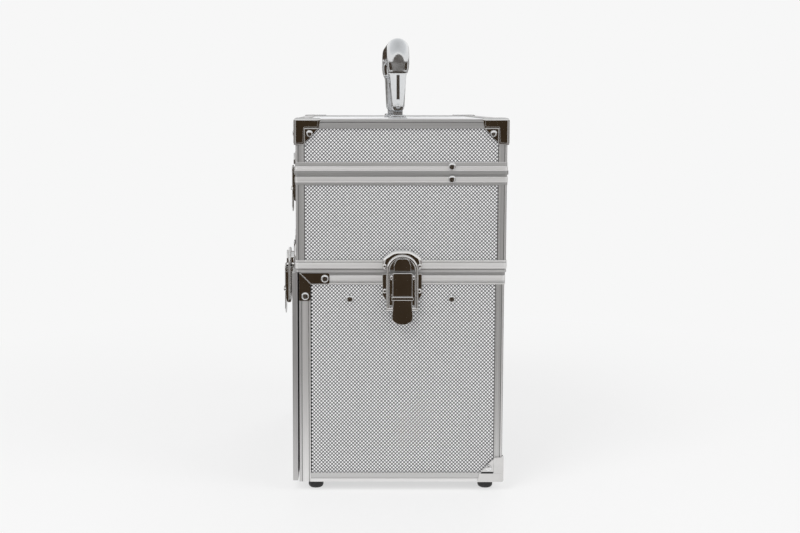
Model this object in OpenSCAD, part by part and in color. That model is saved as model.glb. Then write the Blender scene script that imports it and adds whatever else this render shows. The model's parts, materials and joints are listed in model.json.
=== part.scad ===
// Two-tier aluminium makeup train case: lower box with a drop front door and a drawer,
// lift-off upper case with cantilever trays, hinged lid with a folding handle.
// X runs along the case, -Y is the front, +Z is up and the feet stand on z = 0.

/* [Case] */
// Length between the rail faces of the two ends
case_l = 356; // [320:1:420]
// Depth of the upper case and lid between rail faces
case_d = 221; // [200:1:260]
// Height of the rubber feet
foot_h = 10.5; // [7:0.5:12]
// Height of the lower box
lower_h = 224; // [200:0.5:260]
// Height of the upper case
upper_h = 102; // [98:0.5:120]
// Height of the lid
lid_h = 57.6; // [50:0.1:75]
// How far the lower box stands back behind the upper case at the front
front_setback = 4; // [3.5:0.1:6]
// How far the lower box stands back behind the upper case at the rear
rear_setback = 1.5; // [0.5:0.1:4]

/* [Walls and rails] */
// Thickness of the faced wall boards
panel_t = 4; // [3:0.1:4.5]
// Depth of the board faces behind the rail faces
panel_inset = 1.8; // [1.4:0.1:2.4]
// Depth of the post faces behind the rail faces
post_inset = 1; // [0.6:0.1:1.1]
// Width of each post on each face
post_w = 10.5; // [9:0.1:14]
// Radius of the upright corners
corner_r = 3; // [2:0.1:4]
// Thickness of the rail web on the seams
web_t = 3; // [2.6:0.1:4]
// Thickness of the inner rail flange
flange_t = 1; // [0.8:0.1:1.5]
// Height of the locating lip between two tiers
lip_h = 1.8; // [1.2:0.1:2]
// Clearance around the locating lips and other lift-off fits
fit_gap = 0.3; // [0.2:0.05:0.5]

/* [Door] */
// Thickness of the drop front door
door_t = 5.5; // [5.5:0.1:7]
// Gap between the door and the lower box
door_gap = 1.5; // [1.2:0.1:2.5]
// Width of the door's frame
door_frame_w = 10.5; // [9:0.5:16]
// Depth of the door's board face behind its frame
door_recess = 1; // [0.6:0.1:1.5]
// Distance of each door latch from the middle of the case
door_latch_x = 112.5; // [90:0.5:130]

/* [Hinges] */
// Radius of the lid hinge knuckles
lid_knuckle_r = 2.2; // [2:0.1:2.6]
// Distance of the lid hinge axis behind the rear rail face
lid_axis_out = 3; // [2.9:0.1:4]
// Distance of each lid hinge from the middle
lid_hinge_x = 105; // [80:1:125]
// Radius of the door hinge knuckles
door_knuckle_r = 2; // [1.8:0.1:2.2]
// Radius of both hinges' pins
hinge_pin_r = 1; // [0.8:0.05:1.1]
// Running clearance of the pins in their holes
pin_gap = 0.05; // [0.03:0.01:0.08]

/* [Latches] */
// Half width of a latch base plate
latch_half_w = 20.7; // [19:0.1:23]
// Distance of the lever pivot from the mounting face
lever_out = 7; // [6.8:0.1:8]
// Distance of the lever pivot below the seam
lever_drop = 4; // [3.5:0.1:5]
// Distance of the bail pivot from the mounting face
bail_out = 5; // [4.8:0.1:5.4]
// Distance of the bail pivot below the seam
bail_drop = 38; // [35:0.5:41]
// Outer half width of the bail
bail_half_w = 16.6; // [16:0.1:17.6]
// Width of the bail's legs
bail_band = 3.7; // [3:0.1:4]
// Length of the lever below the seam
lever_len = 53.4; // [50:0.1:58]

/* [Handle] */
// Distance between the middles of the handle's legs
handle_span = 170; // [140:1:200]
// Height of the handle's pivot above the lid
handle_pivot_h = 13; // [12.6:0.1:16]
// Height of the grip's top above the lid
handle_h = 88.5; // [80:0.5:100]
// Diameter of the grip
grip_d = 25; // [20:0.5:25]
// Diameter of the handle's legs
leg_d = 14; // [12:0.5:16]
// Radius of the handle's pivot pins
handle_pin_r = 2.5; // [2:0.1:3]

/* [Drawer] */
// Height of the drawer
drawer_h = 40; // [34:1:46]
// Wall thickness of the drawer
drawer_wall = 3; // [2:0.5:4]
// Height of the drawer runners' middle above the ground
runner_z = 206; // [202:0.5:209]
// Half length of the drawer runners
runner_half_l = 75; // [60:1:85]

/* [Trays] */
// Depth of each tray, front to rear
tray_d = 118; // [105:1:120]
// Height of each tray
tray_h = 28; // [24:1:28]
// Wall thickness of the trays
tray_wall = 2; // [1.6:0.1:3]
// Distance between neighbouring pivots on a tray arm
arm_pitch = 70; // [64:1:72]
// Angle of the stored arms from the forward direction
arm_angle = 150; // [148:1:152]
// Distance of the foremost arm pivot behind a tray's front
pivot_from_front = 15; // [12:0.5:16]
// Distance of the rearmost arm pivot ahead of a tray's rear
pivot_from_rear = 7.38; // [7:0.1:9]
// Width of the tray arms
arm_w = 9; // [7:0.5:10]
// Thickness of the tray arms and stay links
strip_t = 1.3; // [1:0.1:1.4]
// Radius of the arm and stay pivots
pivot_r = 2; // [1.6:0.1:2.4]

/* [Lid stays] */
// Distance of the stay pivots behind the middle of the case
stay_y = 52.5; // [48:0.5:56]
// Distance of the lid pivot above the lid seam
stay_up = 8.6; // [8:0.1:9.4]
// Distance of the case pivot below the lid seam
stay_down = 4.6; // [4.2:0.1:5.2]
// Length of each stay link between pivots
stay_len = 51.5; // [51:0.1:54]

/* [Trim] */
// Radius of the rivet heads
rivet_r = 4; // [3:0.1:5]
// Length of a corner cap's leg along a rail
cap_leg = 27; // [22:0.5:30]
// Width of a corner cap's leg
cap_w = 10; // [8:0.5:10.5]
// Radius of the rubber feet
foot_r = 8; // [6:0.5:10]

/* [Hidden] */

$fn = 48;
eps = 0.01;

// Levels of the tiers
base_z = foot_h;
seam_z = foot_h + lower_h;
lid_z = seam_z + upper_h;
top_z = lid_z + lid_h;

// Half sizes and the middle of the lower box
half_l = case_l / 2;
half_d = case_d / 2;
lower_front = -half_d + front_setback;
lower_rear = half_d - rear_setback;
lower_mid = (lower_front + lower_rear) / 2;
lower_half_d = (lower_rear - lower_front) / 2;

// Depths behind the rail face of a wall
wall_in = panel_inset + panel_t;
rail_in = wall_in + flange_t;
lip_in = rail_in - flange_t - 1;

// Rail heights and the outlines of their faces: [from, to, depth behind the rail face]
base_rail_h = 9.5;
rim_rail_h = 12.6;
upper_foot_h = 12.6;
upper_head_h = 10.8;
lid_foot_h = 12.9;
edge_rail_h = 10;
flare = 0.6;
base_bands = [[0, 3.6, 0], [3.6, 4.2, 0.5], [4.2, base_rail_h, 0]];
rim_bands = [[0, 1.2, 0], [1.2, 1.8, 0.5], [1.8, 9.8, 0], [9.8, 10.4, 0.5], [10.4, rim_rail_h, 0]];
upper_foot_bands = [[0, 2.6, 0.5], [2.6, 3.8, 0.9], [3.8, 10.4, 0], [10.4, 11, 0.5], [11, upper_foot_h, 0]];
upper_head_bands = [[0, 2.4, 0.7], [2.4, 8.2, 0], [8.2, upper_head_h, 0.5]];
lid_foot_bands = [[0, 4.2, -flare], [4.2, 8.4, 0], [8.4, lid_foot_h, flare]];
edge_bands = [[0, 5.9, 0], [5.9, 6.5, 0.5], [6.5, edge_rail_h, 0]];
cover_flange_w = 12;
cover_flange_t = 1.5;

// Grooves along the posts and the door's frame
groove_w = 0.5;
groove_t = 0.4;
groove_from_edge = 3.2;

// Corner caps and rivet heads
cap_t = 0.8;
cap_flap_leg = cap_leg - 3;
cap_rivet_y = 15.5;
cap_rivet_z = 15;
cap_rivet_r = 3.4;
rivet_rim_h = 0.7;
rivet_dome_h = 0.9;

// Angle brackets under the rim
bracket_t = 1;
bracket_arm = 32;
bracket_drop = 30;
bracket_leg_w = 12;
bracket_from_seam = 0.6;

// Places of the feet, from the end and the side of the lower box
foot_from_end = 18;
foot_from_side = 17;

// Front posts of the lower box
front_post_d = 12;
front_post_inset = 0.5;

// Door
door_back = lower_front - door_gap;
door_front = door_back - door_t;
door_axis_y = lower_front - 0.4;
door_axis_z = base_z + 1;
door_half_l = half_l - 1;
door_top = seam_z - 0.5;
door_hinge_half_l = 140;
door_knuckles = 9;
door_leaf_t = 0.8;
door_leaf_h = 14.1;
door_leaf_gap = 0.9;
sill_leaf_from = 0.5;
sill_leaf_to = 16;

// Lid hinge
lid_axis_y = half_d + lid_axis_out;
lid_leaf_h = 14;
lid_leaf_t = 1;
lid_leaf_w = 60;
lid_knuckles = 5;
lid_leaf_gap = 0.4;
lid_leaf_from = 4;

// Layers of the mechanism between the trays and the end walls, measured from the middle
rail_face_x = half_l - rail_in;
wall_face_x = half_l - wall_in;
layer_gap = 0.2;
base_link_x = rail_face_x - 0.1 - strip_t;
lid_link_x = base_link_x - layer_gap - strip_t;
arm_x = lid_link_x - 0.4 - strip_t;
tray_half_l = arm_x - 0.4;

// Trays
stud_r = 4;
pin_collar_r = 3.5;
tray_rear_y = half_d - rail_in - 0.7;
tray_front_y = tray_rear_y - tray_d;
arm_rise = arm_pitch * sin(arm_angle);
arm_back = -arm_pitch * cos(arm_angle);
arm_spacing = tray_d - arm_back - pivot_from_front - pivot_from_rear;
arm_base_z = seam_z + upper_foot_h + stud_r + fit_gap;
lower_pivot_y = tray_front_y + pivot_from_front;
arm_base_y = lower_pivot_y - arm_back;
lower_tray_z = arm_base_z + arm_rise - tray_h / 2;
upper_tray_z = lower_tray_z + arm_rise;

// Drawer
drawer_top_z = runner_z + 6;
drawer_z = drawer_top_z - drawer_h;
drawer_front_y = lower_front + 16;
drawer_back_y = lower_rear - wall_in - 6;
runner_w = 6;
runner_h = 8;
drawer_half_l = half_l - wall_in - runner_w - 1;
runner_rivet_y = 53.5;
pull_l = 90;
pull_rod = 6;
pull_out = 9;
pull_grip_t = 4;

// Latch levers, heights measured down from the seam
lever_half_w = 10.3;
lever_t = 1.4;
cheek_t = 1.5;
lever_front = lever_out + 3.2;
lever_step = 1.2;
lever_top = lever_drop - 4;
lever_step_from = 24.6;
lever_step_to = 27.9;
tab_r = 9.5;
lever_ear_r = 3.2;
latch_pin_r = 1.5;

// Latch bails
bail_bar_r = 1.8;
bail_ear_r = 3;
bail_t = 3;
bail_top = 18.9;

// Latch base plates, heights measured down from the seam
latch_plate_t = 1.2;
latch_plate_top = 1.4;
latch_plate_waist = 24;
latch_plate_h = 35;
latch_foot_half_w = 14;
base_ear_r = 3;
base_ear_rise = 2.6;
ear_gap = 0.5;
base_screw_x = 18;
base_screw_z = 19.4;
screw_h = 0.8;
screw_r = 2.2;

// Latch catches, heights measured up from the seam
catch_low = 3;
lid_catch_low = 4.3;
catch_arch_r = 13;
catch_arch_z = 10;
catch_lobe_x = 19;
catch_lobe_z = 6.8;
catch_lobe_r = 3.8;
catch_arm_top = 10.5;
catch_screw_z = 6.3;
boss_r = 8.5;
boss_low = 2.4;
hook_top = 14;
hook_out = 7;
hook_t = 1.6;
hook_lip = 2.2;

// Handle
handle_z = top_z + handle_pivot_h;
grip_z = top_z + handle_h - grip_d / 2;
bend_r = 22;
bracket_w = 20;

// The case stands off the middle of its latches and hinges, which the frame is centred on
front_reach = door_front - lever_front - lever_step;
rear_reach = lid_axis_y + lid_knuckle_r;
shift_y = -(front_reach + rear_reach) / 2;

// ---------- shared shapes ----------

// Mirrors the children when a side is -1
module on_side(sx, sy = 1) {
    mirror([sx < 0 ? 1 : 0, 0, 0]) mirror([0, sy < 0 ? 1 : 0, 0]) children();
}

module both_ends() {
    for (sx = [-1, 1]) on_side(sx) children();
}

module four_corners() {
    for (sx = [-1, 1], sy = [-1, 1]) on_side(sx, sy) children();
}

module placed() {
    translate([0, shift_y, 0]) children();
}

module lower_placed() {
    translate([0, shift_y + lower_mid, 0]) children();
}

// Box given by its two corners
module span(low, high) {
    translate(low) cube(high - low);
}

// Rounded rectangle centred on the origin
module rounded_outline(hx, hy, r) {
    square([2 * (hx - r), 2 * hy], center = true);
    square([2 * hx, 2 * (hy - r)], center = true);
    for (sx = [-1, 1], sy = [-1, 1]) translate([sx * (hx - r), sy * (hy - r)]) circle(r);
}

// Ring around a tier between two depths behind the rail face
module ring(hx, hy, out, in, z0, z1) {
    translate([0, 0, z0]) linear_extrude(z1 - z0) difference() {
        rounded_outline(hx - out, hy - out, max(corner_r - out, 0.5));
        square([2 * (hx - in), 2 * (hy - in)], center = true);
    }
}

// Outer flange of a rail, one ring per band of its face
module banded_flange(hx, hy, z, bands) {
    for (b = bands) ring(hx, hy, b[2], panel_inset, z + b[0], z + b[1]);
}

// Post at the +X +Y corner: outer angle between two rails and a core between the boards
module post(hx, hy, z0, z1, core_z0, core_z1) {
    outer_x = hx - groove_from_edge;
    outer_y = hy - groove_from_edge;
    difference() {
        translate([0, 0, z0]) linear_extrude(z1 - z0) intersection() {
            difference() {
                rounded_outline(hx - post_inset, hy - post_inset, corner_r - post_inset);
                square([2 * (hx - panel_inset), 2 * (hy - panel_inset)], center = true);
            }
            translate([hx - post_w, hy - post_w]) square(post_w);
        }
        span([hx - post_inset - groove_t, outer_y - groove_w, z0 - 1], [hx, outer_y, z1 + 1]);
        span([outer_x - groove_w, hy - post_inset - groove_t, z0 - 1], [outer_x, hy, z1 + 1]);
    }
    span([hx - wall_in, hy - wall_in, core_z0], [hx - panel_inset, hy - panel_inset, core_z1]);
}

// Boards of the two end walls
module end_boards(hx, hy, z0, z1) {
    both_ends() span([hx - wall_in, -(hy - wall_in), z0], [hx - panel_inset, hy - wall_in, z1]);
}

// Board of the rear wall; the front wall is its mirror
module rear_board(hx, hy, z0, z1) {
    span([-(hx - wall_in), hy - wall_in, z0], [hx - wall_in, hy - panel_inset, z1]);
}

// Rivet head on a face, rising along +Z
module rivet_head(r = rivet_r) {
    cylinder(h = rivet_rim_h, r = r);
    translate([0, 0, rivet_rim_h]) cylinder(h = rivet_dome_h, r1 = r, r2 = 0.5 * r);
}

// Hinge knuckles along X: every second one of a row, each with a bore for the pin
module knuckle_row(width, count, first, r, bore_r) {
    pitch = width / count;
    for (i = [first:2:count - 1])
        translate([-width / 2 + i * pitch + 0.1, 0, 0]) rotate([0, 90, 0]) difference() {
            cylinder(h = pitch - 0.2, r = r);
            translate([0, 0, -1]) cylinder(h = pitch + 2, r = bore_r);
        }
}

// Leaf plates beside the knuckles of one hinge half
module leaf_tabs(width, count, first, low, high) {
    pitch = width / count;
    for (i = [first:2:count - 1]) translate([-width / 2 + i * pitch, 0, 0])
        span([0.1, low[0], low[1]], [pitch - 0.1, high[0], high[1]]);
}

// ---------- lower box ----------

module front_post_space() {
    both_ends() span([half_l - rail_in, -lower_half_d - 1, base_z - 1],
                     [half_l + 1, -lower_half_d + front_post_d, seam_z - rim_rail_h]);
}

module lower_side_panels() {
    color("lightgray") lower_placed() both_ends()
        span([half_l - wall_in, -lower_half_d + front_post_d, base_z + cover_flange_t + panel_t],
             [half_l - panel_inset, lower_half_d - wall_in, seam_z - web_t]);
}

module lower_back_panel() {
    color("lightgray") lower_placed()
        rear_board(half_l, lower_half_d, base_z + cover_flange_t + panel_t, seam_z - web_t);
}

module lower_floor_panel() {
    color("dimgray") lower_placed() difference() {
        span([-(half_l - panel_inset), -(lower_half_d - panel_inset), base_z + cover_flange_t],
             [half_l - panel_inset, lower_half_d - panel_inset, base_z + cover_flange_t + panel_t]);
        front_post_space();
        sill_notch();
    }
}

module lower_rim_rail() {
    rail_z = seam_z - rim_rail_h;
    color("silver") lower_placed() {
        banded_flange(half_l, lower_half_d, rail_z, rim_bands);
        ring(half_l, lower_half_d, panel_inset, rail_in, seam_z - web_t, seam_z);
        difference() {
            ring(half_l, lower_half_d, wall_in, rail_in, rail_z, seam_z - web_t);
            span([-half_l, -half_d, rail_z - 1], [half_l, -lower_half_d + front_post_d, seam_z - web_t]);
        }
        span([-(half_l - rail_in), -lower_half_d + panel_inset, rail_z],
             [half_l - rail_in, -lower_half_d + rail_in, seam_z - web_t]);
        lip_ring(lower_half_d, seam_z);
    }
}

// Locating lip that stands on a seam
module lip_ring(hy, z) {
    ring(half_l, hy, lip_in, rail_in, z, z + lip_h);
}

// Space for the door hinge's barrel in the front of the sill
module sill_notch() {
    translate([0, door_axis_y - lower_mid, door_axis_z]) rotate([0, 90, 0])
        cylinder(h = 2 * door_hinge_half_l + 1, r = door_knuckle_r + 0.3, center = true);
}

module lower_base_rail() {
    color("silver") lower_placed() difference() {
        union() {
            banded_flange(half_l, lower_half_d, base_z, base_bands);
            ring(half_l, lower_half_d, panel_inset, cover_flange_w, base_z, base_z + cover_flange_t);
        }
        front_post_space();
        sill_notch();
    }
}

module lower_posts() {
    color("silver") lower_placed() both_ends() {
        post(half_l, lower_half_d, base_z + base_rail_h, seam_z - rim_rail_h,
             base_z + cover_flange_t + panel_t, seam_z - web_t);
        front_post();
    }
}

module front_post() {
    x0 = half_l - rail_in;
    x1 = half_l - front_post_inset;
    y1 = -lower_half_d + front_post_d;
    difference() {
        span([x0, -lower_half_d, base_z], [x1, y1, seam_z - rim_rail_h]);
        for (y = [-lower_half_d + 2.6, y1 - 1.6])
            span([x1 - groove_t, y, base_z - 1], [x1 + 1, y + groove_w, seam_z]);
    }
    span([half_l - wall_in, -lower_half_d + panel_inset, seam_z - rim_rail_h],
         [half_l - panel_inset, y1, seam_z - web_t]);
}

// Cap on the corner of three faces: a band along each rail and a riveted flap on each upright face
module corner_cap(hx, hy, top, edge_h) {
    bevel = cap_leg - cap_w;
    // Bands on the end face, then on the rear face
    for (face = [0, 1]) {
        u = face == 0 ? hx : hy;
        v = face == 0 ? hy : hx;
        translate([0, 0, top]) cap_face_frame(face) {
            span([u, v - cap_leg, -edge_h], [u + cap_t, v + cap_t, cap_t]);
            span([u, v - cap_w, -cap_leg], [u + cap_t, v + cap_t, -edge_h]);
            span([u - post_inset, v - cap_w, -cap_leg], [u, v - corner_r, -edge_h]);
            translate([u, 0, 0]) cap_flap(cap_t, v - cap_w, v - cap_flap_leg, edge_h);
            translate([u - panel_inset, 0, 0])
                cap_flap(panel_inset, v - max(cap_w, post_w), v - cap_flap_leg, edge_h);
        }
    }
    difference() {
        span([hx - cap_leg, hy - cap_leg, top], [hx + cap_t, hy + cap_t, top + cap_t]);
        translate([hx - cap_leg, hy - cap_leg, top - 1]) linear_extrude(cap_t + 2)
            polygon([[-1, -1], [bevel, -1], [bevel, 0], [0, bevel], [-1, bevel]]);
    }
}

// Triangular flap of a corner cap, over the board between rail and post
module cap_flap(depth, inner, outer, edge_h) {
    rotate([90, 0, 90]) linear_extrude(depth)
        polygon([[inner, -edge_h], [inner, -cap_flap_leg], [outer, -edge_h]]);
}

// Turns a face described for the +X end into the +Y face
module cap_face_frame(face) {
    if (face == 0) children();
    else mirror([1, -1, 0]) children();
}

module cap_rivets(hx, hy, top) {
    for (face = [0, 1]) {
        u = face == 0 ? hx : hy;
        v = face == 0 ? hy : hx;
        cap_face_frame(face) translate([u + cap_t, v - cap_rivet_y, top - cap_rivet_z])
            rotate([0, 90, 0]) rivet_head(cap_rivet_r);
    }
}

module lower_corner_caps() {
    color("gainsboro") lower_placed() both_ends() difference() {
        mirror([0, 0, 1]) corner_cap(half_l, lower_half_d, -base_z, base_rail_h);
        translate([half_l - foot_from_end, lower_half_d - foot_from_side, 0])
            cylinder(h = base_z, r = foot_r);
    }
}

// Angle bracket on the end face at the front upper corner
module rim_brackets() {
    step = -bracket_leg_w - bracket_from_seam;
    color("gray") lower_placed() both_ends() translate([half_l, -lower_half_d, seam_z]) {
        span([0, 0, -bracket_leg_w], [bracket_t, bracket_arm, -bracket_from_seam]);
        span([0, 0, step], [bracket_t, bracket_leg_w, -bracket_leg_w]);
        span([-front_post_inset, 0, -bracket_drop], [bracket_t, bracket_leg_w, step]);
    }
}

module rubber_feet() {
    color("black") lower_placed() four_corners()
        translate([half_l - foot_from_end, lower_half_d - foot_from_side, 0]) {
            cylinder(h = 2, r1 = foot_r - 1.5, r2 = foot_r);
            translate([0, 0, 2]) cylinder(h = foot_h - 2, r = foot_r);
        }
}

module drawer_runners() {
    color("silver") lower_placed() both_ends()
        span([wall_face_x - runner_w, -runner_half_l, runner_z - runner_h / 2],
             [wall_face_x, runner_half_l, runner_z + runner_h / 2]);
}

module lower_rivets() {
    bracket_out = half_l + bracket_t;
    color("silver") placed() both_ends() {
        for (y = [-runner_rivet_y, runner_rivet_y])
            translate([half_l - panel_inset, y, runner_z]) rotate([0, 90, 0]) rivet_head();
        translate([bracket_out, lower_front + 27, seam_z - 6.5]) rotate([0, 90, 0]) rivet_head();
        translate([bracket_out, lower_front + 6.5, seam_z - 25]) rotate([0, 90, 0]) rivet_head();
    }
    color("silver") lower_placed() both_ends() mirror([0, 0, 1]) cap_rivets(half_l, lower_half_d, -base_z);
}

// ---------- draw latches ----------
// Latch parts are described on a front face: -Y is outward, z = 0 is the seam.

// Places latch parts on a face: 0 is the front, 1 the right end, -1 the left end
module latch_placed(x, y, z, turn) {
    translate([x, y, z]) rotate([0, 0, turn * 90]) children();
}

module side_latch_placed(side) {
    latch_placed(side * half_l, shift_y + lower_mid, seam_z, side) children();
}

module door_latch_placed(side) {
    latch_placed(side * door_latch_x, shift_y + door_front, seam_z, 0) children();
}

module lid_latch_placed() {
    latch_placed(0, shift_y - half_d, lid_z, 0) children();
}

// Plate in the XZ plane that stands out from y = -from to y = -to
module face_plate(from, to) {
    translate([0, -from, 0]) rotate([90, 0, 0]) linear_extrude(to - from) children();
}

// Large flat area above a height, for cutting a plate's outline
module above(z) {
    reach = 3 * latch_half_w;
    translate([-reach, z]) square([2 * reach, reach]);
}

// Large flat area below a height
module below(z) {
    mirror([0, 1]) above(-z);
}

// Base plate with its ears and pivot pin; pad_top and pad_depth fill the step below the rail
module latch_base(pad_top, pad_depth) {
    outline = [[-latch_half_w, -latch_plate_top], [latch_half_w, -latch_plate_top],
               [latch_half_w, -latch_plate_waist], [latch_foot_half_w, -latch_plate_h],
               [-latch_foot_half_w, -latch_plate_h], [-latch_half_w, -latch_plate_waist]];
    ear_x = lever_half_w + ear_gap;
    face_plate(0, latch_plate_t) polygon(outline);
    if (pad_depth > 0) face_plate(-pad_depth, 0) intersection() {
        polygon(outline);
        below(-pad_top);
    }
    both_ends() {
        span([ear_x, -lever_out, -lever_drop - base_ear_r],
             [ear_x + cheek_t, -latch_plate_t + eps, -lever_drop + base_ear_rise]);
        translate([ear_x, -lever_out, -lever_drop]) rotate([0, 90, 0]) cylinder(h = cheek_t, r = base_ear_r);
        translate([base_screw_x, -latch_plate_t, -base_screw_z]) rotate([90, 0, 0])
            cylinder(h = screw_h, r1 = screw_r, r2 = 0.7 * screw_r);
    }
    translate([0, -lever_out, -lever_drop]) rotate([0, 90, 0])
        cylinder(h = 2 * (ear_x + cheek_t), r = latch_pin_r, center = true);
}

// Lever plate with a raised step, a round finger tab and two cheeks for the pins
module latch_lever() {
    back = lever_front - lever_t;
    tab_top = lever_len - tab_r;
    cheek_in = lever_half_w - cheek_t;
    difference() {
        union() {
            face_plate(back, lever_front) translate([-lever_half_w, -lever_step_from])
                square([2 * lever_half_w, lever_step_from - lever_top]);
            face_plate(back, lever_front + lever_step) translate([-lever_half_w, -lever_step_to])
                square([2 * lever_half_w, lever_step_to - lever_step_from]);
            face_plate(back, lever_front) {
                translate([-tab_r, -tab_top]) square([2 * tab_r, tab_top - lever_step_to]);
                translate([0, -tab_top]) circle(tab_r);
            }
            both_ends() {
                span([cheek_in, -lever_front + lever_t / 2, -bail_drop],
                     [lever_half_w, -bail_out, -lever_drop]);
                translate([cheek_in, -lever_out, -lever_drop]) rotate([0, 90, 0])
                    cylinder(h = cheek_t, r = lever_ear_r);
                translate([cheek_in, -bail_out, -bail_drop]) rotate([0, 90, 0])
                    cylinder(h = cheek_t, r = bail_ear_r);
            }
        }
        for (p = [[lever_out, lever_drop, latch_pin_r], [bail_out, bail_drop, bail_bar_r]])
            translate([0, -p[0], -p[1]]) rotate([0, 90, 0])
                cylinder(h = 4 * lever_half_w, r = p[2] + pin_gap, center = true);
    }
}

module latch_bail() {
    arch_z = bail_top - bail_half_w;
    leg_in = bail_half_w - bail_band;
    face_plate(bail_out - bail_t / 2, bail_out + bail_t / 2) difference() {
        union() {
            translate([0, arch_z]) circle(bail_half_w);
            translate([-bail_half_w, -bail_drop]) square([2 * bail_half_w, bail_drop + arch_z]);
        }
        translate([0, arch_z]) circle(leg_in);
        translate([-leg_in, -bail_drop - 1]) square([2 * leg_in, bail_drop + arch_z + 1]);
    }
    translate([0, -bail_out, -bail_drop]) rotate([0, 90, 0])
        cylinder(h = 2 * bail_half_w, r = bail_bar_r, center = true);
}

// Catch plate with its hooked boss; depth is how far its face lies behind the latch's own face
module latch_catch(pad_top, pad_depth, depth = 0, low = catch_low) {
    face_plate(-depth, latch_plate_t - depth) catch_outline(low);
    if (pad_depth > 0) face_plate(-depth - pad_depth, -depth) intersection() {
        catch_outline(low);
        above(pad_top);
    }
    face_plate(latch_plate_t - depth - eps, hook_out) boss_outline(boss_r);
    face_plate(hook_out, hook_out + hook_t) boss_outline(boss_r + hook_lip);
    both_ends() translate([catch_lobe_x, depth - latch_plate_t, catch_screw_z]) rotate([90, 0, 0])
        cylinder(h = screw_h, r1 = screw_r, r2 = 0.7 * screw_r);
}

// Arched plate with a lobe for a screw on each side, cut straight along its lower edge
module catch_outline(low) {
    intersection() {
        above(low);
        union() {
            translate([0, catch_arch_z]) circle(catch_arch_r);
            translate([-catch_lobe_x, low]) square([2 * catch_lobe_x, catch_arm_top - low]);
            for (side = [-1, 1]) translate([side * catch_lobe_x, catch_lobe_z]) circle(catch_lobe_r);
        }
    }
}

// Round-topped boss of a radius, on a stem as wide as the plain boss
module boss_outline(r) {
    middle = hook_top - boss_r;
    intersection() {
        above(boss_low);
        union() {
            translate([0, middle]) circle(r);
            translate([-boss_r, 0]) square([2 * boss_r, middle]);
        }
    }
}

module side_latch_bases() {
    color("gainsboro") for (side = [-1, 1]) side_latch_placed(side) latch_base(rim_rail_h, panel_inset);
}

module left_side_lever() { color("gainsboro") side_latch_placed(-1) latch_lever(); }
module left_side_bail() { color("gainsboro") side_latch_placed(-1) latch_bail(); }
module right_side_lever() { color("gainsboro") side_latch_placed(1) latch_lever(); }
module right_side_bail() { color("gainsboro") side_latch_placed(1) latch_bail(); }
module left_door_lever() { color("gainsboro") door_latch_placed(-1) latch_lever(); }
module left_door_bail() { color("gainsboro") door_latch_placed(-1) latch_bail(); }
module right_door_lever() { color("gainsboro") door_latch_placed(1) latch_lever(); }
module right_door_bail() { color("gainsboro") door_latch_placed(1) latch_bail(); }
module lid_lever() { color("gainsboro") lid_latch_placed() latch_lever(); }
module lid_bail() { color("gainsboro") lid_latch_placed() latch_bail(); }

// ---------- door and drawer ----------

module door_latch_bases() {
    pad_top = door_frame_w + seam_z - door_top;
    color("gainsboro") for (side = [-1, 1]) door_latch_placed(side) latch_base(pad_top, door_recess);
}

// Space for the hinge barrel in the back of the door's lower edge
module door_notch() {
    translate([0, door_axis_y, door_axis_z]) rotate([0, 90, 0])
        cylinder(h = 2 * door_hinge_half_l + 1, r = door_knuckle_r + 0.3, center = true);
}

module door_frame() {
    color("silver") placed() difference() {
        span([-door_half_l, door_front, door_axis_z], [door_half_l, door_back, door_top]);
        span([-door_half_l + door_frame_w, door_front - 1, door_axis_z + door_frame_w],
             [door_half_l - door_frame_w, door_back + 1, door_top - door_frame_w]);
        door_notch();
        both_ends() for (x = [2.6, 7]) translate([door_half_l - x, 0, 0])
            span([0, door_front - 1, door_axis_z], [groove_w, door_front + groove_t, door_top]);
    }
}

module door_panel() {
    color("lightgray") placed()
        span([-door_half_l + door_frame_w, door_front + door_recess, door_axis_z + door_frame_w],
             [door_half_l - door_frame_w, door_back, door_top - door_frame_w]);
}

module door_hinge_door_leaf() {
    color("silver") placed() {
        translate([0, door_axis_y, door_axis_z])
            knuckle_row(2 * door_hinge_half_l, door_knuckles, 1, door_knuckle_r, hinge_pin_r + pin_gap);
        difference() {
            translate([0, door_back, door_axis_z + door_leaf_gap])
                leaf_tabs(2 * door_hinge_half_l, door_knuckles, 1, [0, 0], [door_leaf_t, door_leaf_h]);
            door_pin_space(hinge_pin_r + pin_gap);
        }
    }
}

module door_pin_space(r) {
    translate([0, door_axis_y, door_axis_z]) rotate([0, 90, 0])
        cylinder(h = 2 * door_hinge_half_l, r = r, center = true);
}

module door_hinge_box_leaf() {
    color("silver") placed() {
        translate([0, door_axis_y, door_axis_z])
            knuckle_row(2 * door_hinge_half_l, door_knuckles, 0, door_knuckle_r, hinge_pin_r - eps);
        translate([0, door_axis_y, base_z])
            leaf_tabs(2 * door_hinge_half_l, door_knuckles, 0,
                      [sill_leaf_from, -door_leaf_t], [sill_leaf_to, 0]);
        door_pin_space(hinge_pin_r);
    }
}

module drawer_box() {
    color("dimgray") placed() {
        difference() {
            span([-drawer_half_l, drawer_front_y, drawer_z], [drawer_half_l, drawer_back_y, drawer_top_z]);
            span([-drawer_half_l + drawer_wall, drawer_front_y + drawer_wall, drawer_z + drawer_wall],
                 [drawer_half_l - drawer_wall, drawer_back_y - drawer_wall, drawer_top_z + 1]);
        }
        both_ends() span([drawer_half_l - eps, drawer_front_y, runner_z + runner_h / 2 + fit_gap],
                         [drawer_half_l + runner_w - 1, drawer_back_y, drawer_top_z]);
    }
}

module drawer_pull() {
    rod = pull_rod;
    color("gainsboro") placed() translate([0, drawer_front_y, drawer_z + drawer_h / 2]) {
        both_ends() span([pull_l / 2 - rod, -pull_out, -rod / 2], [pull_l / 2, 0, rod / 2]);
        span([-pull_l / 2, -pull_out - pull_grip_t, -rod / 2], [pull_l / 2, -pull_out + eps, rod / 2]);
    }
}

// ---------- upper case ----------

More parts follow.
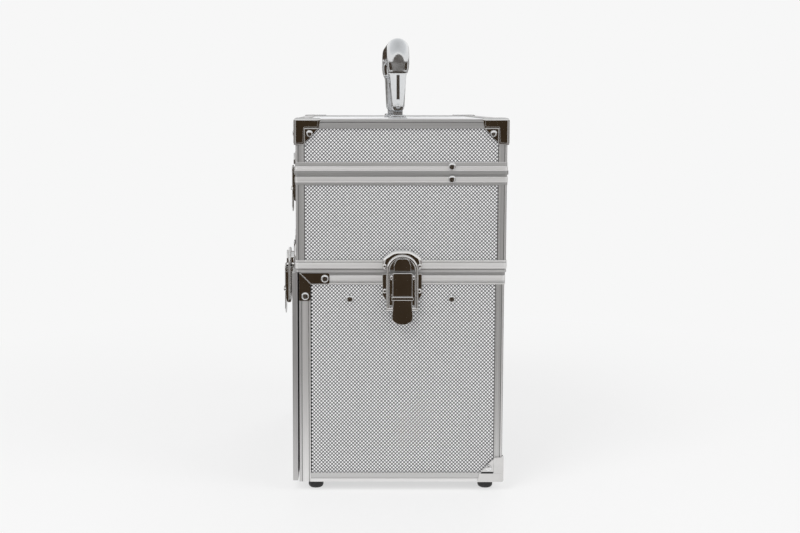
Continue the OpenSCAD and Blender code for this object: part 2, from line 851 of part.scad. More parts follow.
module upper_wall_panels() {
    color("lightgray") placed() {
        end_boards(half_l, half_d, seam_z + web_t, lid_z - web_t);
        for (sy = [-1, 1]) on_side(1, sy) rear_board(half_l, half_d, seam_z + web_t, lid_z - web_t);
    }
}

module upper_floor_panel() {
    color("dimgray") placed()
        span([-(half_l - wall_in), -(half_d - wall_in), seam_z + web_t],
             [half_l - wall_in, half_d - wall_in, seam_z + web_t + panel_t]);
}

// Web of the rail under the upper case, with a rebate for the lower box's locating lip
module upper_bottom_rail() {
    color("silver") placed() difference() {
        union() {
            banded_flange(half_l, half_d, seam_z, upper_foot_bands);
            ring(half_l, half_d, panel_inset, cover_flange_w, seam_z, seam_z + web_t);
            ring(half_l, half_d, wall_in, rail_in, seam_z + web_t + panel_t, seam_z + upper_foot_h);
        }
        translate([0, lower_mid, 0])
            ring(half_l, lower_half_d, lip_in - fit_gap, cover_flange_w + 2,
                 seam_z - 1, seam_z + lip_h + fit_gap);
    }
}

module upper_top_rail() {
    rail_z = lid_z - upper_head_h;
    color("silver") placed() {
        translate([0, 0, lid_z]) mirror([0, 0, 1]) banded_flange(half_l, half_d, 0, upper_head_bands);
        ring(half_l, half_d, panel_inset, rail_in, lid_z - web_t, lid_z);
        ring(half_l, half_d, wall_in, rail_in, rail_z, lid_z - web_t);
        lip_ring(half_d, lid_z);
    }
}

module upper_posts() {
    color("silver") placed() four_corners()
        post(half_l, half_d, seam_z + upper_foot_h, lid_z - upper_head_h, seam_z + web_t, lid_z - web_t);
}

// Riveted pivot of a stay link: a head outside the rail and a stud through the link inside it
module stay_rivet(z, link_x) {
    translate([half_l, stay_y, z]) rotate([0, 90, 0]) rivet_head();
    translate([link_x, stay_y, z]) rotate([0, 90, 0]) cylinder(h = rail_face_x - link_x, r = pivot_r);
}

module upper_rivets() {
    color("silver") placed() both_ends() stay_rivet(lid_z - stay_down, base_link_x);
}

module upper_latch_catches() {
    color("gainsboro") {
        for (side = [-1, 1]) side_latch_placed(side) latch_catch(upper_foot_h, panel_inset);
        for (side = [-1, 1]) door_latch_placed(side)
            latch_catch(upper_foot_h, panel_inset, -half_d - door_front);
    }
}

module lid_latch_base() {
    color("gainsboro") lid_latch_placed() latch_base(upper_head_h, panel_inset);
}

module lid_hinge_lower_leaves() {
    leaf_back = half_d + lid_leaf_t;
    color("silver") placed() for (sx = [-1, 1]) translate([sx * lid_hinge_x, 0, lid_z]) {
        translate([0, lid_axis_y, 0]) {
            knuckle_row(lid_leaf_w, lid_knuckles, 0, lid_knuckle_r, hinge_pin_r - eps);
            rotate([0, 90, 0]) cylinder(h = lid_leaf_w - 0.2, r = hinge_pin_r, center = true);
        }
        leaf_tabs(lid_leaf_w, lid_knuckles, 0, [half_d, -lid_leaf_h], [leaf_back, -lid_leaf_gap]);
        leaf_tabs(lid_leaf_w, lid_knuckles, 0, [leaf_back - eps, -1.6],
                  [lid_axis_y - hinge_pin_r, -lid_leaf_gap]);
        span([-lid_leaf_w / 2, half_d, -lid_leaf_h], [lid_leaf_w / 2, leaf_back, -lid_leaf_from]);
    }
}

// ---------- trays ----------

// Studs on the end walls that the tray arms turn on
module tray_pivot_studs() {
    collar_x = arm_x + strip_t + 0.1;
    color("silver") placed() both_ends() for (y = [arm_base_y, arm_base_y + arm_spacing])
        translate([0, y, arm_base_z]) rotate([0, 90, 0]) {
            translate([0, 0, arm_x]) cylinder(h = wall_face_x - arm_x, r = pivot_r);
            translate([0, 0, collar_x]) cylinder(h = wall_face_x - collar_x, r = stud_r);
        }
}

// Flat strip along +Y with a round end and a hole at each pivot
module strip_link(x, length, width, holes) {
    translate([x, 0, 0]) rotate([0, 90, 0]) difference() {
        union() {
            translate([-width / 2, 0, 0]) cube([width, length, strip_t]);
            for (y = [0, length]) translate([0, y, 0]) cylinder(h = strip_t, r = width / 2);
        }
        for (y = holes) translate([0, y, -1]) cylinder(h = strip_t + 2, r = pivot_r + pin_gap);
    }
}

module tray_arms(y) {
    color("silver") placed() both_ends() translate([0, y, arm_base_z]) rotate([180 - arm_angle, 0, 0])
        strip_link(arm_x, 2 * arm_pitch, arm_w, [0, arm_pitch, 2 * arm_pitch]);
}

module tray_front_arms() { tray_arms(arm_base_y); }
module tray_rear_arms() { tray_arms(arm_base_y + arm_spacing); }

// Open tray with a pivot pin for each arm on both ends
module tray(z, pivot_y) {
    placed() {
        difference() {
            span([-tray_half_l, tray_front_y, z], [tray_half_l, tray_rear_y, z + tray_h]);
            span([-tray_half_l + tray_wall, tray_front_y + tray_wall, z + tray_wall],
                 [tray_half_l - tray_wall, tray_rear_y - tray_wall, z + tray_h + 1]);
        }
        both_ends() for (y = [pivot_y, pivot_y + arm_spacing])
            translate([tray_half_l - eps, y, z + tray_h / 2]) rotate([0, 90, 0]) {
                cylinder(h = arm_x + strip_t - tray_half_l, r = pivot_r);
                cylinder(h = arm_x - tray_half_l - 0.1, r = pin_collar_r);
            }
    }
}

// Dividers across a tray and one along it
module dividers(z, fractions, along) {
    wall = 1.5;
    y0 = tray_front_y + tray_wall;
    y1 = tray_rear_y - tray_wall;
    z0 = z + tray_wall;
    z1 = z + tray_h - 4;
    placed() {
        for (f = fractions) span([f * tray_half_l - wall / 2, y0, z0], [f * tray_half_l + wall / 2, y1, z1]);
        if (along) span([fractions[0] * tray_half_l + wall / 2, (y0 + y1) / 2 - wall / 2, z0],
                        [fractions[1] * tray_half_l - wall / 2, (y0 + y1) / 2 + wall / 2, z1]);
    }
}

module lower_tray() { color("dimgray") tray(lower_tray_z, lower_pivot_y); }
module upper_tray() { color("dimgray") tray(upper_tray_z, lower_pivot_y + arm_back); }
module lower_tray_dividers() { color("gray") dividers(lower_tray_z, [0], false); }
module upper_tray_dividers() { color("gray") dividers(upper_tray_z, [-0.34, 0.34], true); }

// ---------- lid ----------

module lid_top_panel() {
    color("lightgray") placed()
        span([-(half_l - panel_inset), -(half_d - panel_inset), top_z - cover_flange_t - panel_t],
             [half_l - panel_inset, half_d - panel_inset, top_z - cover_flange_t]);
}

module lid_wall_panels() {
    color("lightgray") placed() {
        end_boards(half_l, half_d, lid_z + web_t, top_z - cover_flange_t - panel_t);
        for (sy = [-1, 1]) on_side(1, sy)
            rear_board(half_l, half_d, lid_z + web_t, top_z - cover_flange_t - panel_t);
    }
}

module lid_top_rail() {
    color("silver") placed() {
        banded_flange(half_l, half_d, top_z - edge_rail_h, edge_bands);
        ring(half_l, half_d, panel_inset, cover_flange_w, top_z - cover_flange_t, top_z);
    }
}

module lid_bottom_rail() {
    color("silver") placed() difference() {
        union() {
            banded_flange(half_l, half_d, lid_z, lid_foot_bands);
            ring(half_l, half_d, panel_inset, rail_in, lid_z, lid_z + web_t);
            ring(half_l, half_d, wall_in, rail_in, lid_z + web_t, lid_z + lid_foot_h);
        }
        ring(half_l, half_d, lip_in - fit_gap, rail_in + 2, lid_z - 1, lid_z + lip_h + fit_gap);
    }
}

module lid_posts() {
    color("silver") placed() four_corners()
        post(half_l, half_d, lid_z + lid_foot_h, top_z - edge_rail_h,
             lid_z + web_t, top_z - cover_flange_t - panel_t);
}

module lid_corner_caps() {
    color("gainsboro") placed() four_corners() corner_cap(half_l, half_d, top_z, edge_rail_h);
}

module lid_rivets() {
    color("silver") placed() {
        both_ends() stay_rivet(lid_z + stay_up, lid_link_x);
        four_corners() cap_rivets(half_l, half_d, top_z);
    }
}

module lid_hinge_upper_leaves() {
    leaf_out = half_d + flare;
    leaf_back = leaf_out + lid_leaf_t;
    color("silver") placed() for (sx = [-1, 1]) translate([sx * lid_hinge_x, 0, lid_z]) {
        translate([0, lid_axis_y, 0])
            knuckle_row(lid_leaf_w, lid_knuckles, 1, lid_knuckle_r, hinge_pin_r + pin_gap);
        leaf_tabs(lid_leaf_w, lid_knuckles, 1, [leaf_out, lid_leaf_gap],
                  [lid_axis_y - hinge_pin_r - 0.3, 2]);
        leaf_tabs(lid_leaf_w, lid_knuckles, 1, [leaf_out, lid_leaf_gap], [leaf_back, lid_leaf_h]);
        span([-lid_leaf_w / 2, leaf_out, lid_leaf_from], [lid_leaf_w / 2, leaf_back, lid_leaf_h]);
    }
}

module lid_latch_catch() {
    color("gainsboro") lid_latch_placed() latch_catch(lid_foot_h, panel_inset, 0, lid_catch_low);
}

module lid_lining() {
    lining_t = 3;
    inner_top = top_z - cover_flange_t - panel_t;
    color("dimgray") placed()
        span([-wall_face_x + 1, -(half_d - wall_in) + 1, inner_top - lining_t],
             [wall_face_x - 1, half_d - wall_in - 1, inner_top]);
}

// ---------- handle ----------

module handle_brackets() {
    ear_t = 3;
    ear_r = bracket_w / 2 - 3;
    gap = leg_d / 2 + 0.4;
    plate_half_l = gap + ear_t + 4;
    face_z = top_z - cover_flange_t;
    plate_z = face_z + 1.6;
    color("gainsboro") placed() for (sx = [-1, 1]) translate([sx * handle_span / 2, 0, 0]) {
        span([-plate_half_l, -bracket_w / 2, face_z], [plate_half_l, bracket_w / 2, plate_z]);
        for (side = [-1, 1]) on_side(side) {
            span([gap, -ear_r, plate_z - eps], [gap + ear_t, ear_r, handle_z]);
            translate([gap, 0, handle_z]) rotate([0, 90, 0]) cylinder(h = ear_t, r = ear_r);
        }
        translate([0, 0, handle_z]) rotate([0, 90, 0])
            cylinder(h = 2 * (gap + ear_t), r = handle_pin_r, center = true);
    }
}

module handle() {
    grip_half_l = handle_span / 2 - bend_r;
    color("gainsboro") placed() {
        translate([0, 0, grip_z]) rotate([0, 90, 0]) {
            cylinder(h = 2 * grip_half_l, r = grip_d / 2, center = true);
            for (end = [0, 1]) mirror([0, 0, end]) translate([0, 0, grip_half_l])
                cylinder(h = 6, r1 = grip_d / 2, r2 = leg_d / 2 + 1.8);
        }
        both_ends() {
            translate([grip_half_l, 0, grip_z - bend_r]) rotate([90, 0, 0])
                rotate_extrude(angle = 90) translate([bend_r, 0]) circle(leg_d / 2);
            difference() {
                union() {
                    translate([handle_span / 2, 0, handle_z])
                        cylinder(h = grip_z - bend_r - handle_z, r = leg_d / 2);
                    translate([handle_span / 2, 0, handle_z]) rotate([0, 90, 0])
                        cylinder(h = leg_d - 3, r = leg_d / 2 + 0.5, center = true);
                }
                translate([handle_span / 2, 0, handle_z]) rotate([0, 90, 0])
                    cylinder(h = 2 * leg_d, r = handle_pin_r + pin_gap, center = true);
            }
        }
    }
}

// ---------- lid stays ----------

// A link from a pivot on one side of the seam to the elbow between them, folded to the front
module stay_link(z, x, towards_seam) {
    half_gap = (stay_up + stay_down) / 2;
    tilt = asin(half_gap / stay_len);
    translate([0, stay_y, z]) rotate([180 - towards_seam * tilt, 0, 0])
        strip_link(x, stay_len, 8, [0, stay_len]);
}

module stay_base_links() {
    color("silver") placed() both_ends() stay_link(lid_z - stay_down, base_link_x, 1);
}

module stay_lid_links() {
    color("silver") placed() both_ends() stay_link(lid_z + stay_up, lid_link_x, -1);
}

lower_side_panels();
lower_back_panel();
lower_floor_panel();
lower_rim_rail();
lower_base_rail();
lower_posts();
lower_corner_caps();
rim_brackets();
rubber_feet();
drawer_runners();
lower_rivets();
side_latch_bases();
door_hinge_box_leaf();
door_panel();
door_frame();
door_hinge_door_leaf();
door_latch_bases();
drawer_box();
drawer_pull();
left_side_lever();
left_side_bail();
right_side_lever();
right_side_bail();
left_door_lever();
left_door_bail();
right_door_lever();
right_door_bail();
lid_lever();
lid_bail();
upper_wall_panels();
upper_floor_panel();
upper_top_rail();
upper_bottom_rail();
upper_posts();
upper_rivets();
upper_latch_catches();
lid_latch_base();
lid_hinge_lower_leaves();
tray_pivot_studs();
tray_front_arms();
tray_rear_arms();
lower_tray();
upper_tray();
lower_tray_dividers();
upper_tray_dividers();
lid_top_panel();
lid_wall_panels();
lid_top_rail();
lid_bottom_rail();
lid_posts();
lid_corner_caps();
lid_rivets();
lid_hinge_upper_leaves();
lid_latch_catch();
lid_lining();
handle_brackets();
handle();
stay_base_links();
stay_lid_links();
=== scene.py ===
"""Two-tier aluminium makeup train case: finishes, detailed pieces and studio.

Lengths are in millimetres until a mesh is made, and every mesh is stored in metres in the frame of
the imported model: +X is the right-hand end, -Y the front with the drop door, +Z up.
"""

import json
import logging
import math
from dataclasses import dataclass, field
from enum import Enum
from typing import Callable, Sequence

import bmesh
import bpy
from mathutils import Matrix, Vector


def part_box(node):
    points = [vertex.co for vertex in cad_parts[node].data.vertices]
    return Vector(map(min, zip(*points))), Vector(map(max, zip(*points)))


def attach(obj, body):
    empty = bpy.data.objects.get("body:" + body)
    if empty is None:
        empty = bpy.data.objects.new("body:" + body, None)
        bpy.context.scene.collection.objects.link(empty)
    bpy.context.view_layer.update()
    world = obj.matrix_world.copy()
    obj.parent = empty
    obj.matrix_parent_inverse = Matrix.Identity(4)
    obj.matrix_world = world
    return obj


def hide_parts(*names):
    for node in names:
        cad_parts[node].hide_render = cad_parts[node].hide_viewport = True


MM = 0.001
# Nodes with an opening, whose ring of flat faces must not be merged into one
FRAMES = ("door_frame",)
MERGE_DISTANCE = 2e-6
FLAT_ANGLE = math.radians(0.6)
# Painted shade on faces that look up, whose normal's Z passes LOOKS_UP: their colour is dimmed by
# the next value.
LOOKS_UP = 0.75
TOP_PAINTED_SHADE = 0.3
SMUDGE_SCALE = 14.0
DOME_RIM = 0.35
DOME_STEPS = 7

log = logging.getLogger("train_case")

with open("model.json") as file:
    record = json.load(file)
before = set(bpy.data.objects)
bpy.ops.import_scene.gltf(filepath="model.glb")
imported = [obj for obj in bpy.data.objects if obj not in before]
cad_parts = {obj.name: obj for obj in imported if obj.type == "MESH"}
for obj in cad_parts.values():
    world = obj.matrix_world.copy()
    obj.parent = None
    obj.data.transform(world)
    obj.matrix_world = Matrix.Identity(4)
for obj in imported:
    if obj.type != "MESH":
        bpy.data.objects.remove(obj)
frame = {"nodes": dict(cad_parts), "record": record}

Point2 = tuple[float, float]
Point3 = tuple[float, float, float]
Box = tuple[Vector, Vector]
Mesh = bmesh.types.BMesh
Object = bpy.types.Object
Material = bpy.types.Material
Socket = bpy.types.NodeSocket
# Gives a face's painted shade, the share by which its colour is dimmed, from its middle and normal.
PaintedShadeOf = Callable[[Vector, Vector], float]


class Slot(Enum):
    """Material slots of the record."""

    ALUMINIUM = "satin_aluminium"
    FACING = "faced_board"
    LINED = "lined_board"
    CHROME = "chrome_plate"
    STEEL = "bright_steel"
    RUBBER = "black_rubber"
    TRAY = "tray_plastic"
    DRAWER = "drawer_board"
    FOAM = "foam_lining"


class Axis(Enum):
    """Direction that a flat piece faces, after the two directions that lie in it."""

    RIGHT = ((0, 1, 0), (0, 0, 1), (1, 0, 0))
    LEFT = ((0, -1, 0), (0, 0, 1), (-1, 0, 0))
    FRONT = ((1, 0, 0), (0, 0, 1), (0, -1, 0))
    REAR = ((-1, 0, 0), (0, 0, 1), (0, 1, 0))
    TOP = ((1, 0, 0), (0, 1, 0), (0, 0, 1))

    def matrix(self, origin: Sequence[float]) -> Matrix:
        """Places a piece that is described in the XY plane, facing +Z, on this face."""
        return placed(*self.value, origin)


# ---------- mesh helpers ----------


def placed(
    across: Sequence[float], up: Sequence[float], out: Sequence[float],
    origin: Sequence[float] = (0, 0, 0),
) -> Matrix:
    """Gives the matrix that carries X, Y and Z to three directions, and the origin to a point."""
    turn = Matrix((across, up, out)).transposed().to_4x4()
    return Matrix.Translation(Vector(origin)) @ turn


def corners_of(node: str) -> Box:
    """Finds the lowest and the highest corner of a CAD node at rest, in millimetres."""
    low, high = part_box(node)
    return low / MM, high / MM


def merged_copy(node: str) -> Mesh:
    """Copies a CAD node's mesh with its loose triangles joined.

    Args:
        node: Name of the node.

    Returns:
        The copy, in millimetres.
    """
    mesh = bmesh.new()
    mesh.from_mesh(frame["nodes"][node].data)
    bmesh.ops.remove_doubles(mesh, verts=mesh.verts, dist=MERGE_DISTANCE)
    bmesh.ops.scale(mesh, vec=(1 / MM,) * 3, verts=mesh.verts)
    return mesh


def solid_boxes(node: str) -> list[Box]:
    """Finds the box of every separate solid of a CAD node, also where two share an edge.

    Args:
        node: Name of the node.

    Returns:
        The lowest and the highest corner of each solid, in millimetres and in a fixed order.
    """
    mesh = merged_copy(node)
    left = set(mesh.faces)
    boxes = []
    while left:
        stack = [left.pop()]
        solid = set(stack[0].verts)
        while stack:
            inner = (edge for edge in stack.pop().edges if len(edge.link_faces) == 2)
            for face in [face for edge in inner for face in edge.link_faces]:
                if face in left:
                    left.discard(face)
                    stack.append(face)
                    solid.update(face.verts)
        low, high = (
            Vector([limit(v.co[i] for v in solid) for i in range(3)]) for limit in (min, max)
        )
        boxes.append((low, high))
    mesh.free()
    return sorted(boxes, key=lambda box: tuple(round(x, 2) for x in box[0]))


def new_object(name: str, mesh: Mesh, *finishes: Material) -> Object:
    """Turns a mesh in millimetres into a linked object in metres.

    Args:
        name: Name of the object.
        mesh: The mesh, which is freed.
        finishes: Its materials.

    Returns:
        The new object, at the origin.
    """
    bmesh.ops.scale(mesh, vec=(MM,) * 3, verts=mesh.verts)
    data = bpy.data.meshes.new(name)
    mesh.to_mesh(data)
    mesh.free()
    for finish in finishes:
        data.materials.append(finish)
    obj = bpy.data.objects.new(name, data)
    bpy.context.scene.collection.objects.link(obj)
    return obj


def settled(obj: Object) -> Object:
    """Applies an object's modifiers to its mesh and removes them.

    Args:
        obj: The object.

    Returns:
        The same object with a plain mesh.
    """
    graph = bpy.context.evaluated_depsgraph_get()
    data = bpy.data.meshes.new_from_object(obj.evaluated_get(graph))
    obj.modifiers.clear()
    obj.data = data
    data.name = obj.name
    return obj


def softened(obj: Object, width: float, segments: int = 2, angle: float = 30) -> Object:
    """Rounds an object's sharp edges and gives it smooth shading with flat faces kept flat.

    Args:
        obj: The object, whose mesh is in metres.
        width: Width of the rounding in millimetres, or 0 for none.
        segments: Number of faces across each rounding.
        angle: Smallest angle in degrees at which an edge is rounded or kept sharp.

    Returns:
        The same object.
    """
    for polygon in obj.data.polygons:
        polygon.use_smooth = True
    limit = math.radians(angle)
    if width > 0:
        bevel = obj.modifiers.new("rounding", "BEVEL")
        bevel.width = width * MM
        bevel.segments = segments
        bevel.limit_method = "ANGLE"
        bevel.angle_limit = limit
        bevel.miter_outer = "MITER_ARC"
    else:
        mesh = bmesh.new()
        mesh.from_mesh(obj.data)
        for edge in mesh.edges:
            edge.smooth = len(edge.link_faces) == 2 and edge.calc_face_angle(0) < limit
        mesh.to_mesh(obj.data)
        mesh.free()
    obj.modifiers.new("normals", "WEIGHTED_NORMAL").keep_sharp = True
    return settled(obj)


def joined(name: str, objects: Sequence[Object]) -> Object:
    """Joins objects at the origin.

    Args:
        name: Name of the result.
        objects: The objects, of which the first one is kept.

    Returns:
        The joined object.
    """
    target = objects[0]
    if len(objects) > 1:
        with bpy.context.temp_override(
            active_object=target, object=target, selected_objects=objects,
            selected_editable_objects=objects,
        ):
            bpy.ops.object.join()
    target.name = target.data.name = name
    return target


def paint_shade_on_faces(obj: Object, painted_shade_of: PaintedShadeOf) -> Object:
    """Stores each face's painted shade, by which its colour is dimmed; below 0 it paints light.

    Args:
        obj: The object, whose mesh is in metres.
        painted_shade_of: Gives the painted shade from a face's middle in millimetres and its
            normal.

    Returns:
        The same object.
    """
    shades = [painted_shade_of(face.center / MM, face.normal) for face in obj.data.polygons]
    obj.data.attributes.new("shade", "FLOAT", "FACE").data.foreach_set("value", shades)
    return obj


def by_height(base: float, bands: Sequence[Point3]) -> PaintedShadeOf:
    """Gives a painted shade by height on upright faces and one painted shade on faces that look up.

    Args:
        base: Height that the bands are measured from.
        bands: Lower height, upper height and painted shade of each band; below 0 it paints light.

    Returns:
        The function for paint_shade_on_faces.
    """
    return lambda middle, normal: TOP_PAINTED_SHADE if normal.z > LOOKS_UP else next(
        (shade for low, high, shade in bands if low <= middle.z - base < high), 0.0
    )


def fit_out(obj: Object, slot: Slot, *nodes: str) -> Object:
    """Lets a finished piece stand for CAD nodes of one body and move with that body.

    Args:
        obj: The finished piece.
        slot: The record's slot that its finish comes from; not used.
        nodes: The CAD nodes that it replaces.

    Returns:
        The same object.
    """
    bodies = frame["record"]["behaviour"]["bodies"]
    body = next(body for body, members in bodies.items() if nodes[0] in members)
    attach(obj, body)
    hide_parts(*nodes)
    log.info("%s: %d faces, on %s", obj.name, len(obj.data.polygons), body)
    return obj


def refined(
    node: str, finish: Material, slot: Slot, width: float, painted_shade_of: PaintedShadeOf | None = None
) -> Object:
    """Replaces a CAD node by a merged copy of it with rounded edges.

    Args:
        node: Name of the node.
        finish: Its material.
        slot: The record's slot of that material.
        width: Width of the rounding in millimetres.
        painted_shade_of: Gives each face's painted shade, if it has any.

    Returns:
        The new piece, riding on the node's body.
    """
    mesh = merged_copy(node)
    if node not in FRAMES:
        bmesh.ops.dissolve_limit(
            mesh, angle_limit=FLAT_ANGLE, verts=mesh.verts, edges=mesh.edges,
            use_dissolve_boundaries=False,
        )
    obj = softened(new_object(node + "_finished", mesh, finish), width)
    if painted_shade_of:
        paint_shade_on_faces(obj, painted_shade_of)
    return fit_out(obj, slot, node)


# ---------- node trees ----------


class Graph:
    """A shader or geometry node tree under construction."""

    def __init__(self, tree: bpy.types.NodeTree) -> None:
        """Wraps a node tree."""
        self.tree = tree

    @classmethod
    def of(cls, block: Material | bpy.types.World) -> "Graph":
        """Empties the tree of a new material or world and wraps it.

        Args:
            block: The material or world.

        Returns:
            The empty tree.
        """
        block.use_nodes = True
        block.node_tree.nodes.clear()
        return cls(block.node_tree)

    def add(self, kind: str, inputs: dict | None = None, **settings: object) -> bpy.types.Node:
        """Adds a node.

        Args:
            kind: Type of the node.
            inputs: Values or sockets for its inputs, by name or index.
            settings: Its other properties.

        Returns:
            The new node.
        """
        node = self.tree.nodes.new(kind)
        for key, value in settings.items():
            setattr(node, key, value)
        for key, value in (inputs or {}).items():
            if isinstance(value, Socket):
                self.tree.links.new(value, node.inputs[key])
            else:
                node.inputs[key].default_value = value
        return node

    def out(self, kind: str, inputs: dict | None = None, **settings: object) -> Socket:
        """Adds a node and returns its first output."""
        return self.add(kind, inputs, **settings).outputs[0]

    def math(self, operation: str, first: object, second: object = 0.0) -> Socket:
        """Adds a math node and returns its output."""
        return self.out("ShaderNodeMath", {0: first, 1: second}, operation=operation)

    def ranged(
        self, value: Socket, low: object, high: object, start: object = 0.0, end: object = 1.0,
        **settings: object,
    ) -> Socket:
        """Carries a value from one span of numbers to another.

        Args:
            value: The value.
            low: Value that becomes the start.
            high: Value that becomes the end.
            start: First number of the result.
            end: Last number of the result.
            settings: The node's other properties.

        Returns:
            The result, which stays between start and end.
        """
        inputs = {"From Min": low, "From Max": high, "To Min": start, "To Max": end}
        return self.out("ShaderNodeMapRange", {"Value": value, **inputs}, **settings)

    def mixed(self, share: object, first: object, second: object) -> Socket:
        """Mixes two colours and returns the result."""
        inputs = {0: share, 6: first, 7: second}
        return self.add("ShaderNodeMix", inputs, data_type="RGBA").outputs[2]

    def here(self) -> Socket:
        """Gives the surface's own Object coordinates."""
        return self.add("ShaderNodeTexCoord").outputs["Object"]

    def apart(self, place: Socket) -> bpy.types.NodeOutputs:
        """Takes a place apart into X, Y and Z."""
        return self.add("ShaderNodeSeparateXYZ", {0: place}).outputs

    def distance(self, place: Socket) -> Socket:
        """Gives a place's distance from the origin."""
        return self.add("ShaderNodeVectorMath", {0: place}, operation="LENGTH").outputs["Value"]

    def sockets(self, kind: str, way: str = "INPUT", **defaults: object) -> None:
        """Adds named sockets to the group.

        Args:
            kind: Kind of the sockets, such as Float.
            way: INPUT or OUTPUT.
            defaults: Name and starting value of each, or None.
        """
        for name, value in defaults.items():
            item = self.tree.interface.new_socket(
                name=name, in_out=way, socket_type="NodeSocket" + kind
            )
            if value is not None:
                item.default_value = value


def set_inputs(modifier: bpy.types.NodesModifier, **values: float) -> None:
    """Sets a geometry tree's inputs by the identifiers of its sockets.

    Args:
        modifier: The modifier that runs the tree.
        values: The values by the inputs' names.
    """
    for item in modifier.node_group.interface.items_tree:
        if item.item_type == "SOCKET" and item.in_out == "INPUT" and item.name in values:
            modifier[item.identifier] = values[item.name]


def grain_group() -> bpy.types.NodeTree:
    """Builds the shared effect for fine grain, brushing, smudges and soft relief.

    Returns:
        A shader group whose Value runs from Low to High and whose Normal carries the relief.
    """
    graph = Graph(bpy.data.node_groups.new("surface_grain", "ShaderNodeTree"))
    graph.sockets("Vector", Vector=None, Stretch=(1.0, 1.0, 1.0))
    graph.sockets("Float", Scale=100.0, Detail=3.0, Low=0.0, High=1.0, Relief=0.0)
    graph.sockets("Float", "OUTPUT", Value=None)
    graph.sockets("Vector", "OUTPUT", Normal=None)
    given = graph.add("NodeGroupInput").outputs
    stretched = {0: given["Vector"], 1: given["Stretch"]}
    where = graph.out("ShaderNodeVectorMath", stretched, operation="MULTIPLY")
    inputs = {"Vector": where, "Scale": given["Scale"], "Detail": given["Detail"]}
    noise = graph.out("ShaderNodeTexNoise", inputs)
    spread = graph.ranged(noise, 0.3, 0.7, given["Low"], given["High"])
    inputs = {"Strength": 1.0, "Distance": given["Relief"], "Height": noise}
    bump = graph.out("ShaderNodeBump", inputs)
    graph.add("NodeGroupOutput", {"Value": spread, "Normal": bump})
    return graph.tree


@dataclass(frozen=True)
class Finish:
    """A surface finish with a fine grain over two colours.

    Attributes:
        name: Name of the material.
        dark: Colour in the low parts of the grain.
        light: Colour in the high parts of the grain.
        metallic: 1 for bare metal, 0 for plastic, rubber and cloth.
        roughness: Lowest and highest roughness.
        scale: Number of grains in a metre.
        relief: Height of the grain in metres.
        smudge: Size of the wide, slow change in roughness.
        stretch: Scale of the grain along X, Y and Z.
        takes_painted_shade: Whether the faces' painted shade, stored as "shade", dims the colour.
    """

    name: str
    dark: Point3
    light: Point3
    metallic: float
    roughness: Point2
    scale: float
    relief: float
    smudge: float = 0.0
    stretch: Point3 = (1.0, 1.0, 1.0)
    takes_painted_shade: bool = False

    def build(self, grain: bpy.types.NodeTree) -> Material:
        """Makes the material.

        Args:
            grain: The shared grain group.

        Returns:
            The finished material.
        """
        material = bpy.data.materials.new(self.name)
        graph = Graph.of(material)
        place = graph.here()
        fine = {"Vector": place, "Stretch": self.stretch, "Scale": self.scale}
        fine |= {"Low": 0.0, "High": 1.0, "Relief": self.relief}
        wide = {"Vector": place, "Stretch": (1.0, 1.0, 1.0), "Scale": SMUDGE_SCALE}
        wide |= {"Low": -self.smudge, "High": self.smudge, "Relief": 0.0}
        fine, wide = (
            graph.add("ShaderNodeGroup", inputs, node_tree=grain).outputs for inputs in (fine, wide)
        )
        rough = graph.ranged(fine["Value"], 0.0, 1.0, *self.roughness)
        shader = {
            "Base Color": self.tint(graph, fine["Value"]),
            "Roughness": graph.math("ADD", rough, wide["Value"]),
            "Normal": fine["Normal"],
            "Metallic": self.metallic,
        }
        surface = graph.out("ShaderNodeBsdfPrincipled", shader)
        graph.add("ShaderNodeOutputMaterial", {"Surface": surface})
        return material

    def tint(self, graph: Graph, tone: Socket) -> Socket:
        """Mixes the two colours by the grain, then dims them by the faces' painted shade where
        taken.

        Args:
            graph: The material's node tree.
            tone: Height of the grain, from 0 to 1.

        Returns:
            The colour.
        """
        mix = graph.mixed(tone, (*self.dark, 1), (*self.light, 1))
        if not self.takes_painted_shade:
            return mix
        # Painted shade: the colour is scaled by one minus the face's stored shade.
        shade = graph.add("ShaderNodeAttribute", attribute_name="shade").outputs["Fac"]
        inputs = {0: mix, "Scale": graph.math("SUBTRACT", 1.0, shade)}
        return graph.out("ShaderNodeVectorMath", inputs, operation="SCALE")


@dataclass(frozen=True)
class EmbossedFinish(Finish):
    """The boards' facing, with a near-black painted shade in the hollows of its embossing.

    Attributes:
        valley_painted_shade: Colour of the painted shade at the foot of the pyramids.
        slope: Shares of a pyramid's height where the painted shade ends and full colour starts.
    """

    valley_painted_shade: Point3 = (0.012, 0.012, 0.014)
    slope: Point2 = (0.15, 0.40)

    def tint(self, graph: Graph, tone: Socket) -> Socket:
        """Mixes the two colours by the grain and the painted shade of the hollows by the relief.

        Args:
            graph: The material's node tree.
            tone: Height of the grain, from 0 to 1.

        Returns:
            The colour.
        """
        face = super().tint(graph, tone)
        height = graph.add("ShaderNodeAttribute", attribute_name="relief").outputs["Fac"]
        # Painted shade in the hollows: near black at the foot of the pyramids, full colour higher
        # up.
        return graph.mixed(graph.ranged(height, *self.slope), (*self.valley_painted_shade, 1), face)


